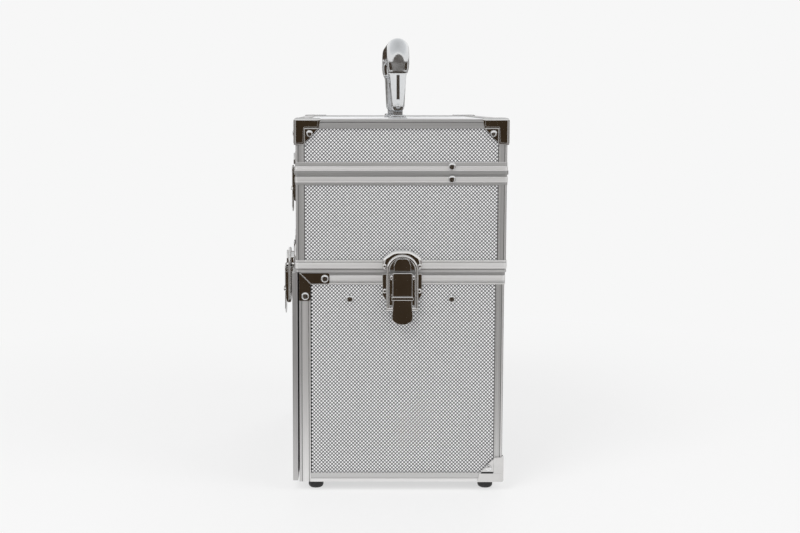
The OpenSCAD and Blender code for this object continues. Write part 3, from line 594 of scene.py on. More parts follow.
ALONG, UPRIGHT = (0.004, 0.004, 1.0), (1.0, 1.0, 0.004)
FINISHES = {
    "rail": Finish(
        "rail_aluminium", (0.88, 0.87, 0.865), (1.0, 0.99, 0.985), 0.7, (0.36, 0.48),
        900, 3e-6, 0.02, ALONG, True,
    ),
    "post": Finish(
        "post_aluminium", (0.80, 0.79, 0.785), (0.95, 0.94, 0.935), 0.85, (0.36, 0.48),
        900, 3e-6, 0.02, UPRIGHT, True,
    ),
    "facing": EmbossedFinish(
        "embossed_facing", (0.90, 0.90, 0.91), (0.99, 0.99, 1.0), 0.35, (0.30, 0.40),
        700, 4e-6, 0.04,
    ),
    "chrome": Finish(
        "polished_chrome", (0.76, 0.75, 0.74), (0.84, 0.83, 0.82), 1.0, (0.04, 0.09),
        60, 0.0, 0.02, takes_painted_shade=True,
    ),
    "satin": Finish(
        "satin_chrome", (0.70, 0.71, 0.72), (0.78, 0.79, 0.80), 1.0, (0.12, 0.17), 60, 0.0, 0.01
    ),
    "steel": Finish(
        "bright_rivet_steel", (0.70,) * 3, (0.84,) * 3, 1.0, (0.12, 0.2), 500, 1e-6, 0.02
    ),
    "lining": Finish(
        "black_lining", (0.012, 0.012, 0.013), (0.035, 0.035, 0.037), 0.0, (0.8, 0.95), 1800, 6e-5
    ),
    "foam": Finish(
        "black_foam", (0.008, 0.008, 0.009), (0.03, 0.03, 0.032), 0.0, (0.85, 1.0), 900, 2e-4
    ),
    "tray": Finish(
        "tray_plastic", (0.020, 0.020, 0.022), (0.034, 0.034, 0.036), 0.0, (0.38, 0.5),
        1500, 2e-5, 0.04,
    ),
    "drawer": Finish(
        "drawer_board", (0.016, 0.016, 0.018), (0.032, 0.032, 0.034), 0.0, (0.5, 0.65),
        1200, 3e-5, 0.04,
    ),
    "rubber": Finish("black_rubber", (0.012,) * 3, (0.03,) * 3, 0.0, (0.6, 0.8), 900, 2e-5),
}


# ---------- embossed boards ----------


@dataclass
class EmbossedBoards:
    """Faced boards of the walls and lid, embossed with rows of small pyramids.

    Attributes:
        facing: Material of the embossed face.
        lining: Material of the inner face and the edges.
        pitch: Distance between pyramids along a row, in millimetres.
        relief: Height of the pyramids in millimetres.
        sunk: Depth of the valleys behind the plain board face, in millimetres.
    """

    facing: Material
    lining: Material
    pitch: float = 3.75
    relief: float = 0.42
    sunk: float = 0.15
    tree: bpy.types.NodeTree = field(init=False)

    def __post_init__(self) -> None:
        """Builds the tree that embosses one board."""
        self.tree = self.board_tree()

    def board_tree(self) -> bpy.types.NodeTree:
        """Builds a geometry tree for a closed board whose upper face carries the pyramids.

        Returns:
            The tree, with inputs Width, Height, Thickness, Columns, Rows and Relief.
        """
        graph = Graph(bpy.data.node_groups.new("embossed_board", "GeometryNodeTree"))
        graph.sockets("Float", Width=0.1, Height=0.1, Thickness=0.1, Relief=0.1)
        graph.sockets("Int", Columns=4, Rows=4)
        graph.sockets("Geometry", "OUTPUT", Geometry=None)
        given = graph.add("NodeGroupInput").outputs
        grid = graph.out("GeometryNodeMeshGrid", {
            "Size X": given["Width"],
            "Size Y": given["Height"],
            "Vertices X": graph.math("ADD", given["Columns"], 1.0),
            "Vertices Y": graph.math("ADD", given["Rows"], 1.0),
        })
        even_face = self.even_cell(graph, given, 0.0)
        odd_face = graph.math("SUBTRACT", 1.0, even_face)
        border = graph.out(
            "FunctionNodeCompare", {2: graph.out("GeometryNodeInputMeshEdgeNeighbors"), 3: 1},
            data_type="INT", operation="EQUAL",
        )
        near_border = graph.out(
            "GeometryNodeFieldOnDomain", {0: border}, domain="EDGE", data_type="FLOAT"
        )
        # Border points stay flat, which keeps the board's walls straight and also gives its edge
        # the near-black painted shade of the hollows.
        inside = graph.math("SUBTRACT", 1.0, graph.math("GREATER_THAN", near_border, 0.01))
        raised = graph.math("MULTIPLY", self.even_cell(graph, given, 0.5), inside)
        kept = {"Geometry": grid, "Name": "relief", "Value": raised}
        shape = graph.out("GeometryNodeStoreNamedAttribute", kept, domain="POINT")
        lift = {"Z": graph.math("MULTIPLY", raised, given["Relief"])}
        lift = graph.out("ShaderNodeCombineXYZ", lift)
        shape = graph.out("GeometryNodeSetPosition", {"Geometry": shape, "Offset": lift})
        for chosen, method in ((even_face, "FIXED_ALTERNATE"), (odd_face, "FIXED")):
            shape = graph.out(
                "GeometryNodeTriangulate", {"Mesh": shape, "Selection": chosen}, quad_method=method
            )
        down = {"Z": graph.math("MULTIPLY", given["Thickness"], -1.0)}
        down = graph.out("ShaderNodeCombineXYZ", down)
        walls = graph.add(
            "GeometryNodeExtrudeMesh",
            {"Mesh": shape, "Selection": border, "Offset Scale": 1.0, "Offset": down}, mode="EDGES",
        ).outputs
        rim = {"Mesh": walls["Mesh"], "Selection": walls["Top"]}
        rim = graph.out("GeometryNodeMeshToCurve", rim)
        back = graph.out("GeometryNodeFillCurve", {"Curve": rim}, mode="NGONS")
        back = graph.out("GeometryNodeTransform", {"Geometry": back, "Translation": down})
        back = graph.out("GeometryNodeFlipFaces", {"Mesh": back})
        both = graph.add("GeometryNodeJoinGeometry")
        for part, finish in ((walls["Mesh"], self.facing), (back, self.lining)):
            dressed = graph.out("GeometryNodeSetMaterial", {"Geometry": part, "Material": finish})
            graph.tree.links.new(dressed, both.inputs[0])
        closed = {"Geometry": both.outputs[0], "Distance": MERGE_DISTANCE}
        closed = graph.out("GeometryNodeMergeByDistance", closed)
        real = graph.out("GeometryNodeRealizeInstances", {"Geometry": closed})
        graph.add("NodeGroupOutput", {0: real})
        return graph.tree

    def even_cell(self, graph: Graph, given: bpy.types.NodeOutputs, nudge: float) -> Socket:
        """Tells which points or faces have an even column and row sum.

        Args:
            graph: The tree under construction.
            given: The tree's inputs.
            nudge: 0.5 to read the points of the grid, 0 to read its faces.

        Returns:
            A socket that is 1 for an even sum and 0 for an odd one.
        """
        place = graph.apart(graph.out("GeometryNodeInputPosition"))
        numbers = []
        for axis, size, count in (("X", "Width", "Columns"), ("Y", "Height", "Rows")):
            half = graph.math("MULTIPLY", given[size], 0.5)
            step = graph.math("DIVIDE", given[size], given[count])
            cells = graph.math("DIVIDE", graph.math("ADD", place[axis], half), step)
            numbers.append(graph.math("FLOOR", graph.math("ADD", cells, nudge)))
        odd = graph.math("FLOORED_MODULO", graph.math("ADD", *numbers), 2.0)
        return graph.math("SUBTRACT", 1.0, odd)

    def board(self, name: str, low: Vector, high: Vector, axis: Axis) -> Object:
        """Makes one board.

        Args:
            name: Name of the object.
            low: Lowest corner of the plain board, in millimetres.
            high: Highest corner.
            axis: Direction of its embossed face.

        Returns:
            The board as a plain mesh in place.
        """
        width, height, thickness = (abs((high - low).dot(Vector(way))) for way in axis.value)
        middle = (low + high) / 2 + Vector(axis.value[2]) * (thickness / 2 - self.sunk)
        obj = new_object(name, bmesh.new())
        grow = obj.modifiers.new("embossing", "NODES")
        grow.node_group = self.tree
        set_inputs(
            grow, Width=width * MM, Height=height * MM, Thickness=(thickness - self.sunk) * MM,
            Relief=self.relief * MM, Columns=2 * round(width / self.pitch),
            Rows=2 * round(height / self.pitch),
        )
        settled(obj).data.transform(axis.matrix(middle * MM))
        return obj

    def replace(self, node: str, axis: Axis | None = None) -> Object:
        """Replaces every board of a CAD node by an embossed one.

        Args:
            node: Name of the node, whose solids are plain boards.
            axis: Outward direction of its boards, or None for the walls' own directions.

        Returns:
            The new piece.
        """
        boards = [
            self.board(node, low, high, axis or wall_direction(low, high))
            for low, high in solid_boxes(node)
        ]
        return fit_out(joined(node.replace("panel", "facing"), boards), Slot.FACING, node)

    def build(self) -> None:
        """Replaces all wall boards, the lid board and the door board."""
        walls = ("lower_side_panels", "upper_wall_panels", "lid_wall_panels", "lower_back_panel")
        for node in (*walls, "door_panel"):
            self.replace(node)
        self.replace("lid_top_panel", Axis.TOP)


def wall_direction(low: Vector, high: Vector) -> Axis:
    """Gives the outward direction of an upright board.

    Args:
        low: Lowest corner of the board.
        high: Highest corner of the board.

    Returns:
        The direction, from the board's thin side and its place.
    """
    if high.x - low.x < high.y - low.y:
        return Axis.RIGHT if high.x > 0 else Axis.LEFT
    return Axis.REAR if high.y > 0 else Axis.FRONT


# ---------- sections and solids ----------


@dataclass(frozen=True)
class Bend:
    """A corner of a section: depth behind the rail face, height, and radius of its rounding."""

    depth: float
    height: float
    radius: float = 0.0


def rounded_section(bends: Sequence[Bend], steps: int = 3) -> list[Point2]:
    """Rounds the corners of a closed section.

    Args:
        bends: The corners in order.
        steps: Number of edges across each rounding.

    Returns:
        The points of the rounded section.
    """
    points = []
    for i, bend in enumerate(bends):
        here, before, after = (
            Vector((b.depth, b.height)) for b in (bend, bends[i - 1], bends[(i + 1) % len(bends)])
        )
        before, after = before - here, after - here
        reach = min(before.length, after.length) * 0.45
        angle = before.angle(after, math.pi)
        if bend.radius <= 0 or angle > math.radians(176) or reach < 1e-4:
            points.append(tuple(here))
            continue
        tangent = min(bend.radius / math.tan(angle / 2), reach)
        start = here + before.normalized() * tangent
        end = here + after.normalized() * tangent
        for k in range(steps + 1):
            t = k / steps
            points.append(tuple(start * (1 - t) ** 2 + here * 2 * t * (1 - t) + end * t ** 2))
    return points


def lofted(rings: Sequence[Sequence[Point3]], hoop: bool = False) -> Mesh:
    """Skins a row of rings, of which the last may be a single point.

    Args:
        rings: Points of each ring, in millimetres.
        hoop: Whether the last ring joins the first, instead of a face closing each of the two.

    Returns:
        The closed mesh.
    """
    mesh = bmesh.new()
    made = [[mesh.verts.new(point) for point in ring] for ring in rings]
    for before, after in zip(made[-1:] + made[:-1], made) if hoop else zip(made, made[1:]):
        for j in range(len(before)):
            ahead = after[j % len(after)], after[(j - 1) % len(after)]
            mesh.faces.new(list(dict.fromkeys((before[j - 1], before[j], *ahead))))
    for ring in () if hoop else (made[0], made[-1]):
        if len(ring) > 2:
            mesh.faces.new(ring)
    bmesh.ops.recalc_face_normals(mesh, faces=mesh.faces)
    return mesh


def prism(outline: Sequence[Point2], low: float, high: float) -> Mesh:
    """Extrudes an outline in the XY plane between two heights."""
    return lofted([[(x, y, z) for x, y in outline] for z in (low, high)])


def plate(outline: Sequence[Bend], low: float, high: float) -> Mesh:
    """Makes a flat plate with rounded corners, in the XY plane between two heights."""
    return prism(rounded_section(outline, 5), low, high)


def sideways(outline: Sequence[Bend], low: float, high: float, sign: int) -> Mesh:
    """Makes an upright plate beside the middle plane.

    Args:
        outline: Corners, of which the first number runs along Y and the second along Z.
        low: Distance of its inner face from the middle plane.
        high: Distance of its outer face.
        sign: 1 for the +X side, -1 for the -X side.

    Returns:
        The plate.
    """
    mesh = plate(outline, low, high)
    turn = placed((0, 1, 0), (0, 0, 1), (sign, 0, 0))
    bmesh.ops.transform(mesh, matrix=turn, verts=mesh.verts)
    return mesh


def pillow(outline: Sequence[Bend], low: float, high: float, inset: float, steps: int = 6) -> Mesh:
    """Makes a plate whose rim curves over, keeping its straight lower edge in place.

    Args:
        outline: Corners of the outline, in the XY plane.
        low: Height of the rim.
        high: Height of the flat middle.
        inset: How far the middle stands back from the rim.
        steps: Number of faces across the rim.

    Returns:
        The closed plate.
    """
    points = rounded_section(outline, 8)
    foot = min(y for _, y in points)
    reach = max(x for x, _ in points)
    rings = [[(x, y, low - 1.0) for x, y in points]]
    for k in range(steps + 1):
        turn = math.radians(90 * k / steps)
        scale = 1 - inset / reach * (1 - math.cos(turn))
        height = low + (high - low) * math.sin(turn)
        rings.append([(x * scale, foot + (y - foot) * scale, height) for x, y in points])
    return lofted(rings)


def mirrored(half: Sequence[Bend]) -> list[Bend]:
    """Completes an outline whose right half is given from its foot to its top."""
    return list(half) + [Bend(-b.depth, b.height, b.radius) for b in reversed(half)]


def crossings(path: Sequence[Vector], side: Vector) -> list[tuple[Vector, Vector]]:
    """Finds the direction across a path that lies in a plane.

    Args:
        path: Points of the path.
        side: Normal of its plane.

    Returns:
        Each point with the direction across the path there.
    """
    last = len(path) - 1
    found = []
    for i, point in enumerate(path):
        along = (path[min(i + 1, last)] - path[max(i - 1, 0)]).normalized()
        found.append((point, side.cross(along).normalized()))
    return found


def turned(profile: Sequence[Point2], segments: int = 28) -> Mesh:
    """Turns a profile around the Z axis and closes its foot and its top.

    Args:
        profile: Radius and height of each ring.
        segments: Number of faces around.

    Returns:
        The closed mesh.
    """
    turns = [2 * math.pi * k / segments for k in range(segments)]
    return lofted([
        [(radius * math.cos(t), radius * math.sin(t), height) for t in turns]
        if radius > 1e-4 else [(0, 0, height)] for radius, height in profile
    ])


def dome(radius: float, height: float) -> Mesh:
    """Makes a screw head, a low dome on a short rim.

    Args:
        radius: Radius of the rim.
        height: Height of the dome's top over its foot.

    Returns:
        The head.
    """
    profile = [(radius, 0.0)]
    for k in range(DOME_STEPS + 1):
        turn = math.radians(90 * k / DOME_STEPS)
        rise = (height - DOME_RIM) * math.sin(turn)
        profile.append((radius * math.cos(turn), DOME_RIM + rise))
    return turned(profile)


def rod(start: Sequence[float], end: Sequence[float], radius: float, segments: int = 20) -> Mesh:
    """Makes a plain round rod.

    Args:
        start: Middle of one end.
        end: Middle of the other end.
        radius: Radius of the rod.
        segments: Number of faces around.

    Returns:
        The rod.
    """
    way = Vector(end) - Vector(start)
    mesh = turned([(radius, 0.0), (radius, way.length)], segments)
    turn = way.to_track_quat("Z", "Y").to_matrix().to_4x4()
    bmesh.ops.transform(mesh, matrix=Matrix.Translation(start) @ turn, verts=mesh.verts)
    return mesh


@dataclass(frozen=True)
class Shape:
    """A closed mesh with the width of its rounding, the faces across it and its painted shade."""

    mesh: Mesh
    rounding: float = 0.0
    segments: int = 2
    tone: float = 0.0


@dataclass
class Workpiece:
    """Plated shapes that are gathered into one piece.

    Attributes:
        name: Name of the piece.
        finish: Its material.
        parts: The shapes so far.
    """

    name: str
    finish: Material
    parts: list[Object] = field(default_factory=list)

    def take(self, place: Matrix, *shapes: Shape) -> None:
        """Adds shapes.

        Args:
            place: Matrix to the frame's millimetres, which may mirror them.
            shapes: The shapes in their own millimetres, whose meshes are freed.
        """
        for shape in shapes:
            mesh = shape.mesh
            bmesh.ops.transform(mesh, matrix=place, verts=mesh.verts)
            bmesh.ops.recalc_face_normals(mesh, faces=mesh.faces)
            part = new_object(self.name, mesh, self.finish)
            softened(part, shape.rounding, shape.segments)
            # Painted shade from the shape's tone dims this part's colour.
            if shape.tone:
                paint_shade_on_faces(part, lambda middle, normal: shape.tone)
            self.parts.append(part)

    def stand_for(self, node: str) -> Object:
        """Joins the shapes and lets them stand for a CAD node."""
        return fit_out(joined(self.name, self.parts), Slot.CHROME, node)


# ---------- rails and posts ----------


@dataclass
class Tier:
    """Outline of one tier between its rail faces.

    Attributes:
        half_x: Half length.
        front: Y of the front rail face.
        rear: Y of the rear rail face.
        corner: Radius of the upright corners.
        steps: Number of edges across each corner.
    """

    half_x: float
    front: float
    rear: float
    corner: float = 3.0
    steps: int = 6

    @classmethod
    def of(cls, node: str) -> "Tier":
        """Reads a tier's outline from the box of its rail."""
        low, high = corners_of(node)
        return cls(high.x, low.y, high.y)

    @property
    def middle(self) -> float:
        """Y of the tier's middle."""
        return (self.front + self.rear) / 2

    @property
    def half_y(self) -> float:
        """Half depth of the tier."""
        return (self.rear - self.front) / 2

    def loop(self, depth: float, height: float) -> list[Point3]:
        """Gives the tier's rounded outline at a depth behind its faces.

        Args:
            depth: The depth.
            height: Z of the outline.

        Returns:
            The points, anticlockwise.
        """
        radius = max(self.corner - depth, 0.4)
        points = []
        for quarter, (sx, sy) in enumerate(((1, 1), (-1, 1), (-1, -1), (1, -1))):
            for k in range(self.steps + 1):
                turn = math.radians(90 * quarter + 90 * k / self.steps)
                x = sx * (self.half_x - depth - radius) + radius * math.cos(turn)
                y = sy * (self.half_y - depth - radius) + radius * math.sin(turn)
                points.append((x, y + self.middle, height))
        return points


def banded(bands: Sequence[Point3], base: float, fillet: float = 0.18) -> list[Bend]:
    """Gives the face of a rail, from its lower to its upper edge.

    Args:
        bands: Lower height, upper height and depth of each band, seen from the base.
        base: Height of the rail's lower edge.
        fillet: Radius of the steps between bands.

    Returns:
        The corners of the face.
    """
    return [
        Bend(depth, base + height, fillet) for low, high, depth in bands for height in (low, high)
    ]


@dataclass
class Rails:
    """Extruded rails around the tiers and the posts between them.

    Attributes:
        rail: Material of the rails.
        post: Material of the posts.
        inset: Depth of the boards' faces behind the rail faces.
        board: Depth of the boards' inner faces.
        inner: Depth of the rails' inner faces.
        web: Height of the rails' webs.
        cover: Depth of the webs that carry a floor or a lid.
        lip: Height of the locating lips.
        groove: Depth of the grooves along the rails.
        skin: Depth of the posts' faces behind the rail faces.
        line: Depth of the grooves along the posts.
        overlap: Length of a post's end inside a rail.
    """

    rail: Material
    post: Material
    inset: float = 1.8
    board: float = 5.8
    inner: float = 6.8
    web: float = 3.0
    cover: float = 12.0
    lip: float = 1.8
    groove: float = 0.7
    skin: float = 1.0
    line: float = 0.45
    overlap: float = 1.0

    def head_section(self, face: list[Bend], base: float, top: float) -> list[Bend]:
        """Section of a rail that closes the top of a wall and carries a locating lip.

        Args:
            face: Its face.
            base: Height of its lower edge.
            top: Height of its top, without the lip.

        Returns:
            The corners of the closed section.
        """
        lip_in, lip_top = self.inner - 2.0, top + self.lip
        return face + [
            Bend(lip_in, top, 0.2), Bend(lip_in, lip_top, 0.3), Bend(self.inner, lip_top, 0.3),
            Bend(self.inner, base, 0.2), Bend(self.board, base, 0.2),
            Bend(self.board, top - self.web), Bend(self.inset, top - self.web),
            Bend(self.inset, base, 0.2),
        ]

    def foot_section(self, face: list[Bend], base: float, top: float, reach: float) -> list[Bend]:
        """Section of a rail under a wall, rebated for the lip that stands below it.

        Args:
            face: Its face.
            base: Height of its lower edge.
            top: Height of its top.
            reach: Depth of its web.

        Returns:
            The corners of the closed section.
        """
        rebate, height, web = self.inner - 2.3, base + self.lip + 0.3, base + self.web
        inside = [Bend(reach, web, 0.2)]
        if reach <= self.inner:
            inside = [Bend(self.board, web), Bend(self.board, top, 0.2), Bend(reach, top, 0.2)]
        return face + [Bend(self.inset, top, 0.2), Bend(self.inset, web)] + inside + [
            Bend(reach, height, 0.2), Bend(rebate, height), Bend(rebate, base, 0.2)
        ]

    def ring(
        self, name: str, tier: Tier, section: list[Bend], base: float, painted_shade_bands: Sequence[Point3]
    ) -> Object:
        """Makes one rail.

        Args:
            name: Name of the object.
            tier: The tier that it runs around.
            section: Corners of its section.
            base: Height of its lower edge.
            painted_shade_bands: Lower and upper height and painted shade of each band, from the
                base.

        Returns:
            The rail.
        """
        rings = [tier.loop(depth, height) for depth, height in rounded_section(section)]
        rail = softened(new_object(name, lofted(rings, hoop=True), self.rail), 0, angle=50)
        return paint_shade_on_faces(rail, by_height(base, painted_shade_bands)) if painted_shade_bands else rail

    def build(self) -> None:
        """Makes every rail and post."""
        g, upper, lower = self.groove, Tier.of("upper_top_rail"), Tier.of("lower_base_rail")
        seam, top = (corners_of("upper_bottom_rail")[i].z for i in range(2))
        face = [
            (0, 2.6, 0.5), (2.6, 3.8, 0.5 + g), (3.8, 10.2, 0), (10.2, 10.9, g), (10.9, 12.6, 0),
        ]
        section = self.foot_section(banded(face, seam), seam, top, self.cover)
        # Painted shade on this rail's bands, and painted light where the value is below 0.
        painted_shade_bands = (
            (-1, 2.5, 0.28), (2.5, 3.95, 0.5), (3.95, 5.2, 0.28), (5.2, 10.2, -0.12),
            (10.2, 11.0, 0.5), (11.0, 13, -0.05),
        )
        foot = self.ring("upper_foot_rail", upper, section, seam, painted_shade_bands)
        ledge = seam + 7.0
        trim = [Bend(self.board, ledge, 0.2), Bend(self.inner, ledge, 0.2)]
        trim += [Bend(self.inner, top, 0.2), Bend(self.board, top, 0.2)]
        parts = [foot, self.ring("upper_foot_trim", upper, trim, seam, ())]
        fit_out(joined("upper_foot_rail", parts), Slot.ALUMINIUM, "upper_bottom_rail")

        base, top = corners_of("upper_top_rail")[0].z, corners_of("lid_bottom_rail")[0].z
        face = [(0, 2.6, 0.35), (2.6, 8.4, 0), (8.4, top - base, 0.7)]
        section = self.head_section(banded(face, base), base, top)
        # Painted shade on this rail's bands.
        painted_shade_bands = ((-1, 2.7, 0.45), (2.7, 8.3, 0.02), (8.3, 11, 0.48))
        head = self.ring("upper_head_rail", upper, section, base, painted_shade_bands)
        fit_out(head, Slot.ALUMINIUM, "upper_top_rail")

        base, top = (corners_of("lid_bottom_rail")[i].z for i in range(2))
        face = banded([(0, 4.2, -0.6), (4.2, 8.4, 0.0), (8.4, 12.9, 0.6)], base, 0.3)
        section = self.foot_section(face, base, top, self.inner)
        # Painted shade on this rail's bands.
        painted_shade_bands = ((-1, 4.1, 0.52), (4.1, 8.5, 0.0), (8.5, 11.6, 0.34), (11.6, 14, 0.1))
        foot = self.ring("lid_foot_rail", upper, section, base, painted_shade_bands)
        fit_out(foot, Slot.ALUMINIUM, "lid_bottom_rail")

        base, top = (corners_of("lid_top_rail")[i].z for i in range(2))
        face = banded([(0, 5.9, 0), (5.9, 6.6, g), (6.6, top - base, 0)], base)
        section = face[:-1] + [
            Bend(0, top, 0.9), Bend(self.cover, top, 0.3), Bend(self.cover, top - 1.5, 0.1),
            Bend(self.inset, top - 1.5), Bend(self.inset, base, 0.1),
        ]
        # Painted shade on this rail's bands.
        painted_shade_bands = ((-1, 0.8, 0.4), (0.8, 5.8, 0.5), (5.8, 6.8, 0.7), (6.8, 9.4, 0.45))
        edge = self.ring("lid_edge_rail", upper, section, base, painted_shade_bands)
        fit_out(edge, Slot.ALUMINIUM, "lid_top_rail")

        base = corners_of("lower_rim_rail")[0].z
        face = [
            (0, 1.2, 0), (1.2, 1.9, g), (1.9, 3.0, 0), (3.0, 3.6, 0.4), (3.6, 9.3, 0),
            (9.3, 10.0, g), (10.0, seam - base, 0.3),
        ]
        section = self.head_section(banded(face, base), base, seam)
        # Painted shade on this rail's bands, and painted light where the value is below 0.
        painted_shade_bands = (
            (-1, 1.1, -0.05), (1.1, 2.0, 0.45), (2.0, 3.0, 0.2), (3.0, 3.8, 0.45),
            (3.8, 9.3, -0.12), (9.3, 13, 0.52),
        )
        rim = self.ring("lower_rim", lower, section, base, painted_shade_bands)
        fit_out(
            joined("lower_rim", [rim, self.sill(lower, base, seam)]), Slot.ALUMINIUM,
            "lower_rim_rail",
        )
        self.posts(upper, lower)

    def sill(self, tier: Tier, base: float, seam: float) -> Object:
        """Makes the bar behind the lower rim above the door.

        Args:
            tier: The lower tier.
            base: Height of the rim's lower edge.
            seam: Height of its top.

        Returns:
            The bar.
        """
        top = seam - self.web
        middle = Vector((0, tier.front + (self.inset + self.inner) / 2, (base + top) / 2))
        size = Vector((2 * (tier.half_x - self.inner), self.inner - self.inset, top - base))
        mesh = bmesh.new()
        bmesh.ops.create_cube(mesh, size=1, matrix=Matrix.LocRotScale(middle, None, size))
        return softened(new_object("front_sill", mesh, self.rail), 0.3)

    def angle_outline(self) -> list[Point2]:
        """Section of a post between two boards, measured inwards from both rail faces.

        Returns:
            The points of the rounded section.
        """
        skin, deep, width, lip, start = self.skin, self.skin + self.line, 10.5, 0.9, 3.2
        side = [
            Bend(deep, width, 0.1), Bend(deep, width - lip, 0.1), Bend(skin, width - lip, 0.2),
            Bend(skin, start + 0.8, 0.15), Bend(deep, start + 0.8, 0.1), Bend(deep, start, 0.1),
            Bend(skin, start, 0.15),
        ]
        other = [Bend(b.height, b.depth, b.radius) for b in reversed(side)]
        core = [
            Bend(width, self.inset), Bend(self.board, self.inset), Bend(self.board, self.board),
            Bend(self.inset, self.board), Bend(self.inset, width),
        ]
        return rounded_section(side + [Bend(skin, skin, 2.2)] + other + core, 4)

    def solid_outline(self) -> list[Point2]:
        """Section of a front post of the lower box, measured inwards from both rail faces.

        Returns:
            The points of the rounded section.
        """
        skin, depth = 0.5, 12.0
        face = [Bend(skin, 0, 0.8)]
        for start in (2.6, 9.9):
            face += [Bend(skin, start, 0.15), Bend(skin + self.line, start, 0.1)]
            face += [Bend(skin + self.line, start + 0.7, 0.1), Bend(skin, start + 0.7, 0.15)]
        face += [Bend(skin, depth, 0.3), Bend(self.inner, depth, 0.2), Bend(self.inner, 0, 0.3)]
        return rounded_section(face)

    @staticmethod
    def angle_painted_shade(end: float, face: float) -> float:
        """Painted shade of an angle post by the depths behind the end face and the long face."""
        return 0.68 if 1.1 < min(end, face) < 1.7 else 0.28 if max(end, face) > 3.2 else 0.1

    @staticmethod
    def solid_painted_shade(end: float, face: float) -> float:
        """Painted shade of a front post of the lower box by the same depths."""
        return 0.7 if 0.6 < end < 1.2 else 0.24 if face < 3.4 else 0.05

    def post_piece(
        self, outline: list[Point2], depth_painted_shade: Callable[[float, float], float], tier: Tier,
        side: Point2, span: Point2,
    ) -> Object:
        """Makes one post at a corner of a tier.

        Args:
            outline: Section, measured inwards from the end face and the long face.
            depth_painted_shade: Gives the painted shade from the depths behind those two faces.
            tier: The tier.
            side: Signs of the corner's X and Y.
            span: Lower and upper end.

        Returns:
            The post.
        """
        sx, sy = side
        points = [
            (sx * (tier.half_x - a), tier.middle + sy * (tier.half_y - b)) for a, b in outline
        ]
        post = softened(new_object("post", prism(points, *span), self.post), 0, angle=50)
        # Painted shade on the post's faces, darkest in its grooves.
        return paint_shade_on_faces(post, lambda middle, normal: depth_painted_shade(
            tier.half_x - sx * middle.x, tier.half_y - sy * (middle.y - tier.middle)
        ))

    def posts(self, upper: Tier, lower: Tier) -> None:
        """Replaces the posts of every tier.

        Args:
            upper: Outline of the upper case and the lid.
            lower: Outline of the lower box.
        """
        outline, extra = self.angle_outline(), self.overlap
        for node in ("upper_posts", "lid_posts"):
            low, high = corners_of(node)
            span = (low.z + extra, high.z - extra)
            pieces = [
                self.post_piece(outline, self.angle_painted_shade, upper, side, span)
                for side in ((1, 1), (-1, 1), (-1, -1), (1, -1))
            ]
            fit_out(joined(node.replace("posts", "corner_posts"), pieces), Slot.ALUMINIUM, node)
        rim = corners_of("lower_rim_rail")[0].z
        base = corners_of("lower_base_rail")
        kinds = (
            (outline, self.angle_painted_shade, 1, (base[1].z - extra, rim + extra)),
            (self.solid_outline(), self.solid_painted_shade, -1, (base[0].z, rim)),
        )
        pieces = [
            self.post_piece(section, depth_painted_shade, lower, (sx, sy), span)
            for section, depth_painted_shade, sy, span in kinds for sx in (1, -1)
        ]
        fit_out(joined("lower_corner_posts", pieces), Slot.ALUMINIUM, "lower_posts")


# ---------- hardware ----------


@dataclass(frozen=True)
class LatchPlace:
    """Where one draw latch sits.

    Attributes:
        name: Prefix of its lever's and bail's nodes.
        axis: Direction that it faces.
        origin: Middle of the seam on the face below it, in millimetres.
        step: Distance of the upper face behind the lower one.
        foot_pad: Depth of the lower board behind the face below the rail, and the rail's height.
        head_pad: The same above the seam.
        catch_low: Height of the catch's lower edge over the seam.
    """

    name: str
    axis: Axis
    origin: Point3
    step: float
    foot_pad: Point2
    head_pad: Point2
    catch_low: float = 3.0

    @property
    def matrix(self) -> Matrix:
        """Matrix from the latch's own millimetres to the frame's."""
        return self.axis.matrix(self.origin)


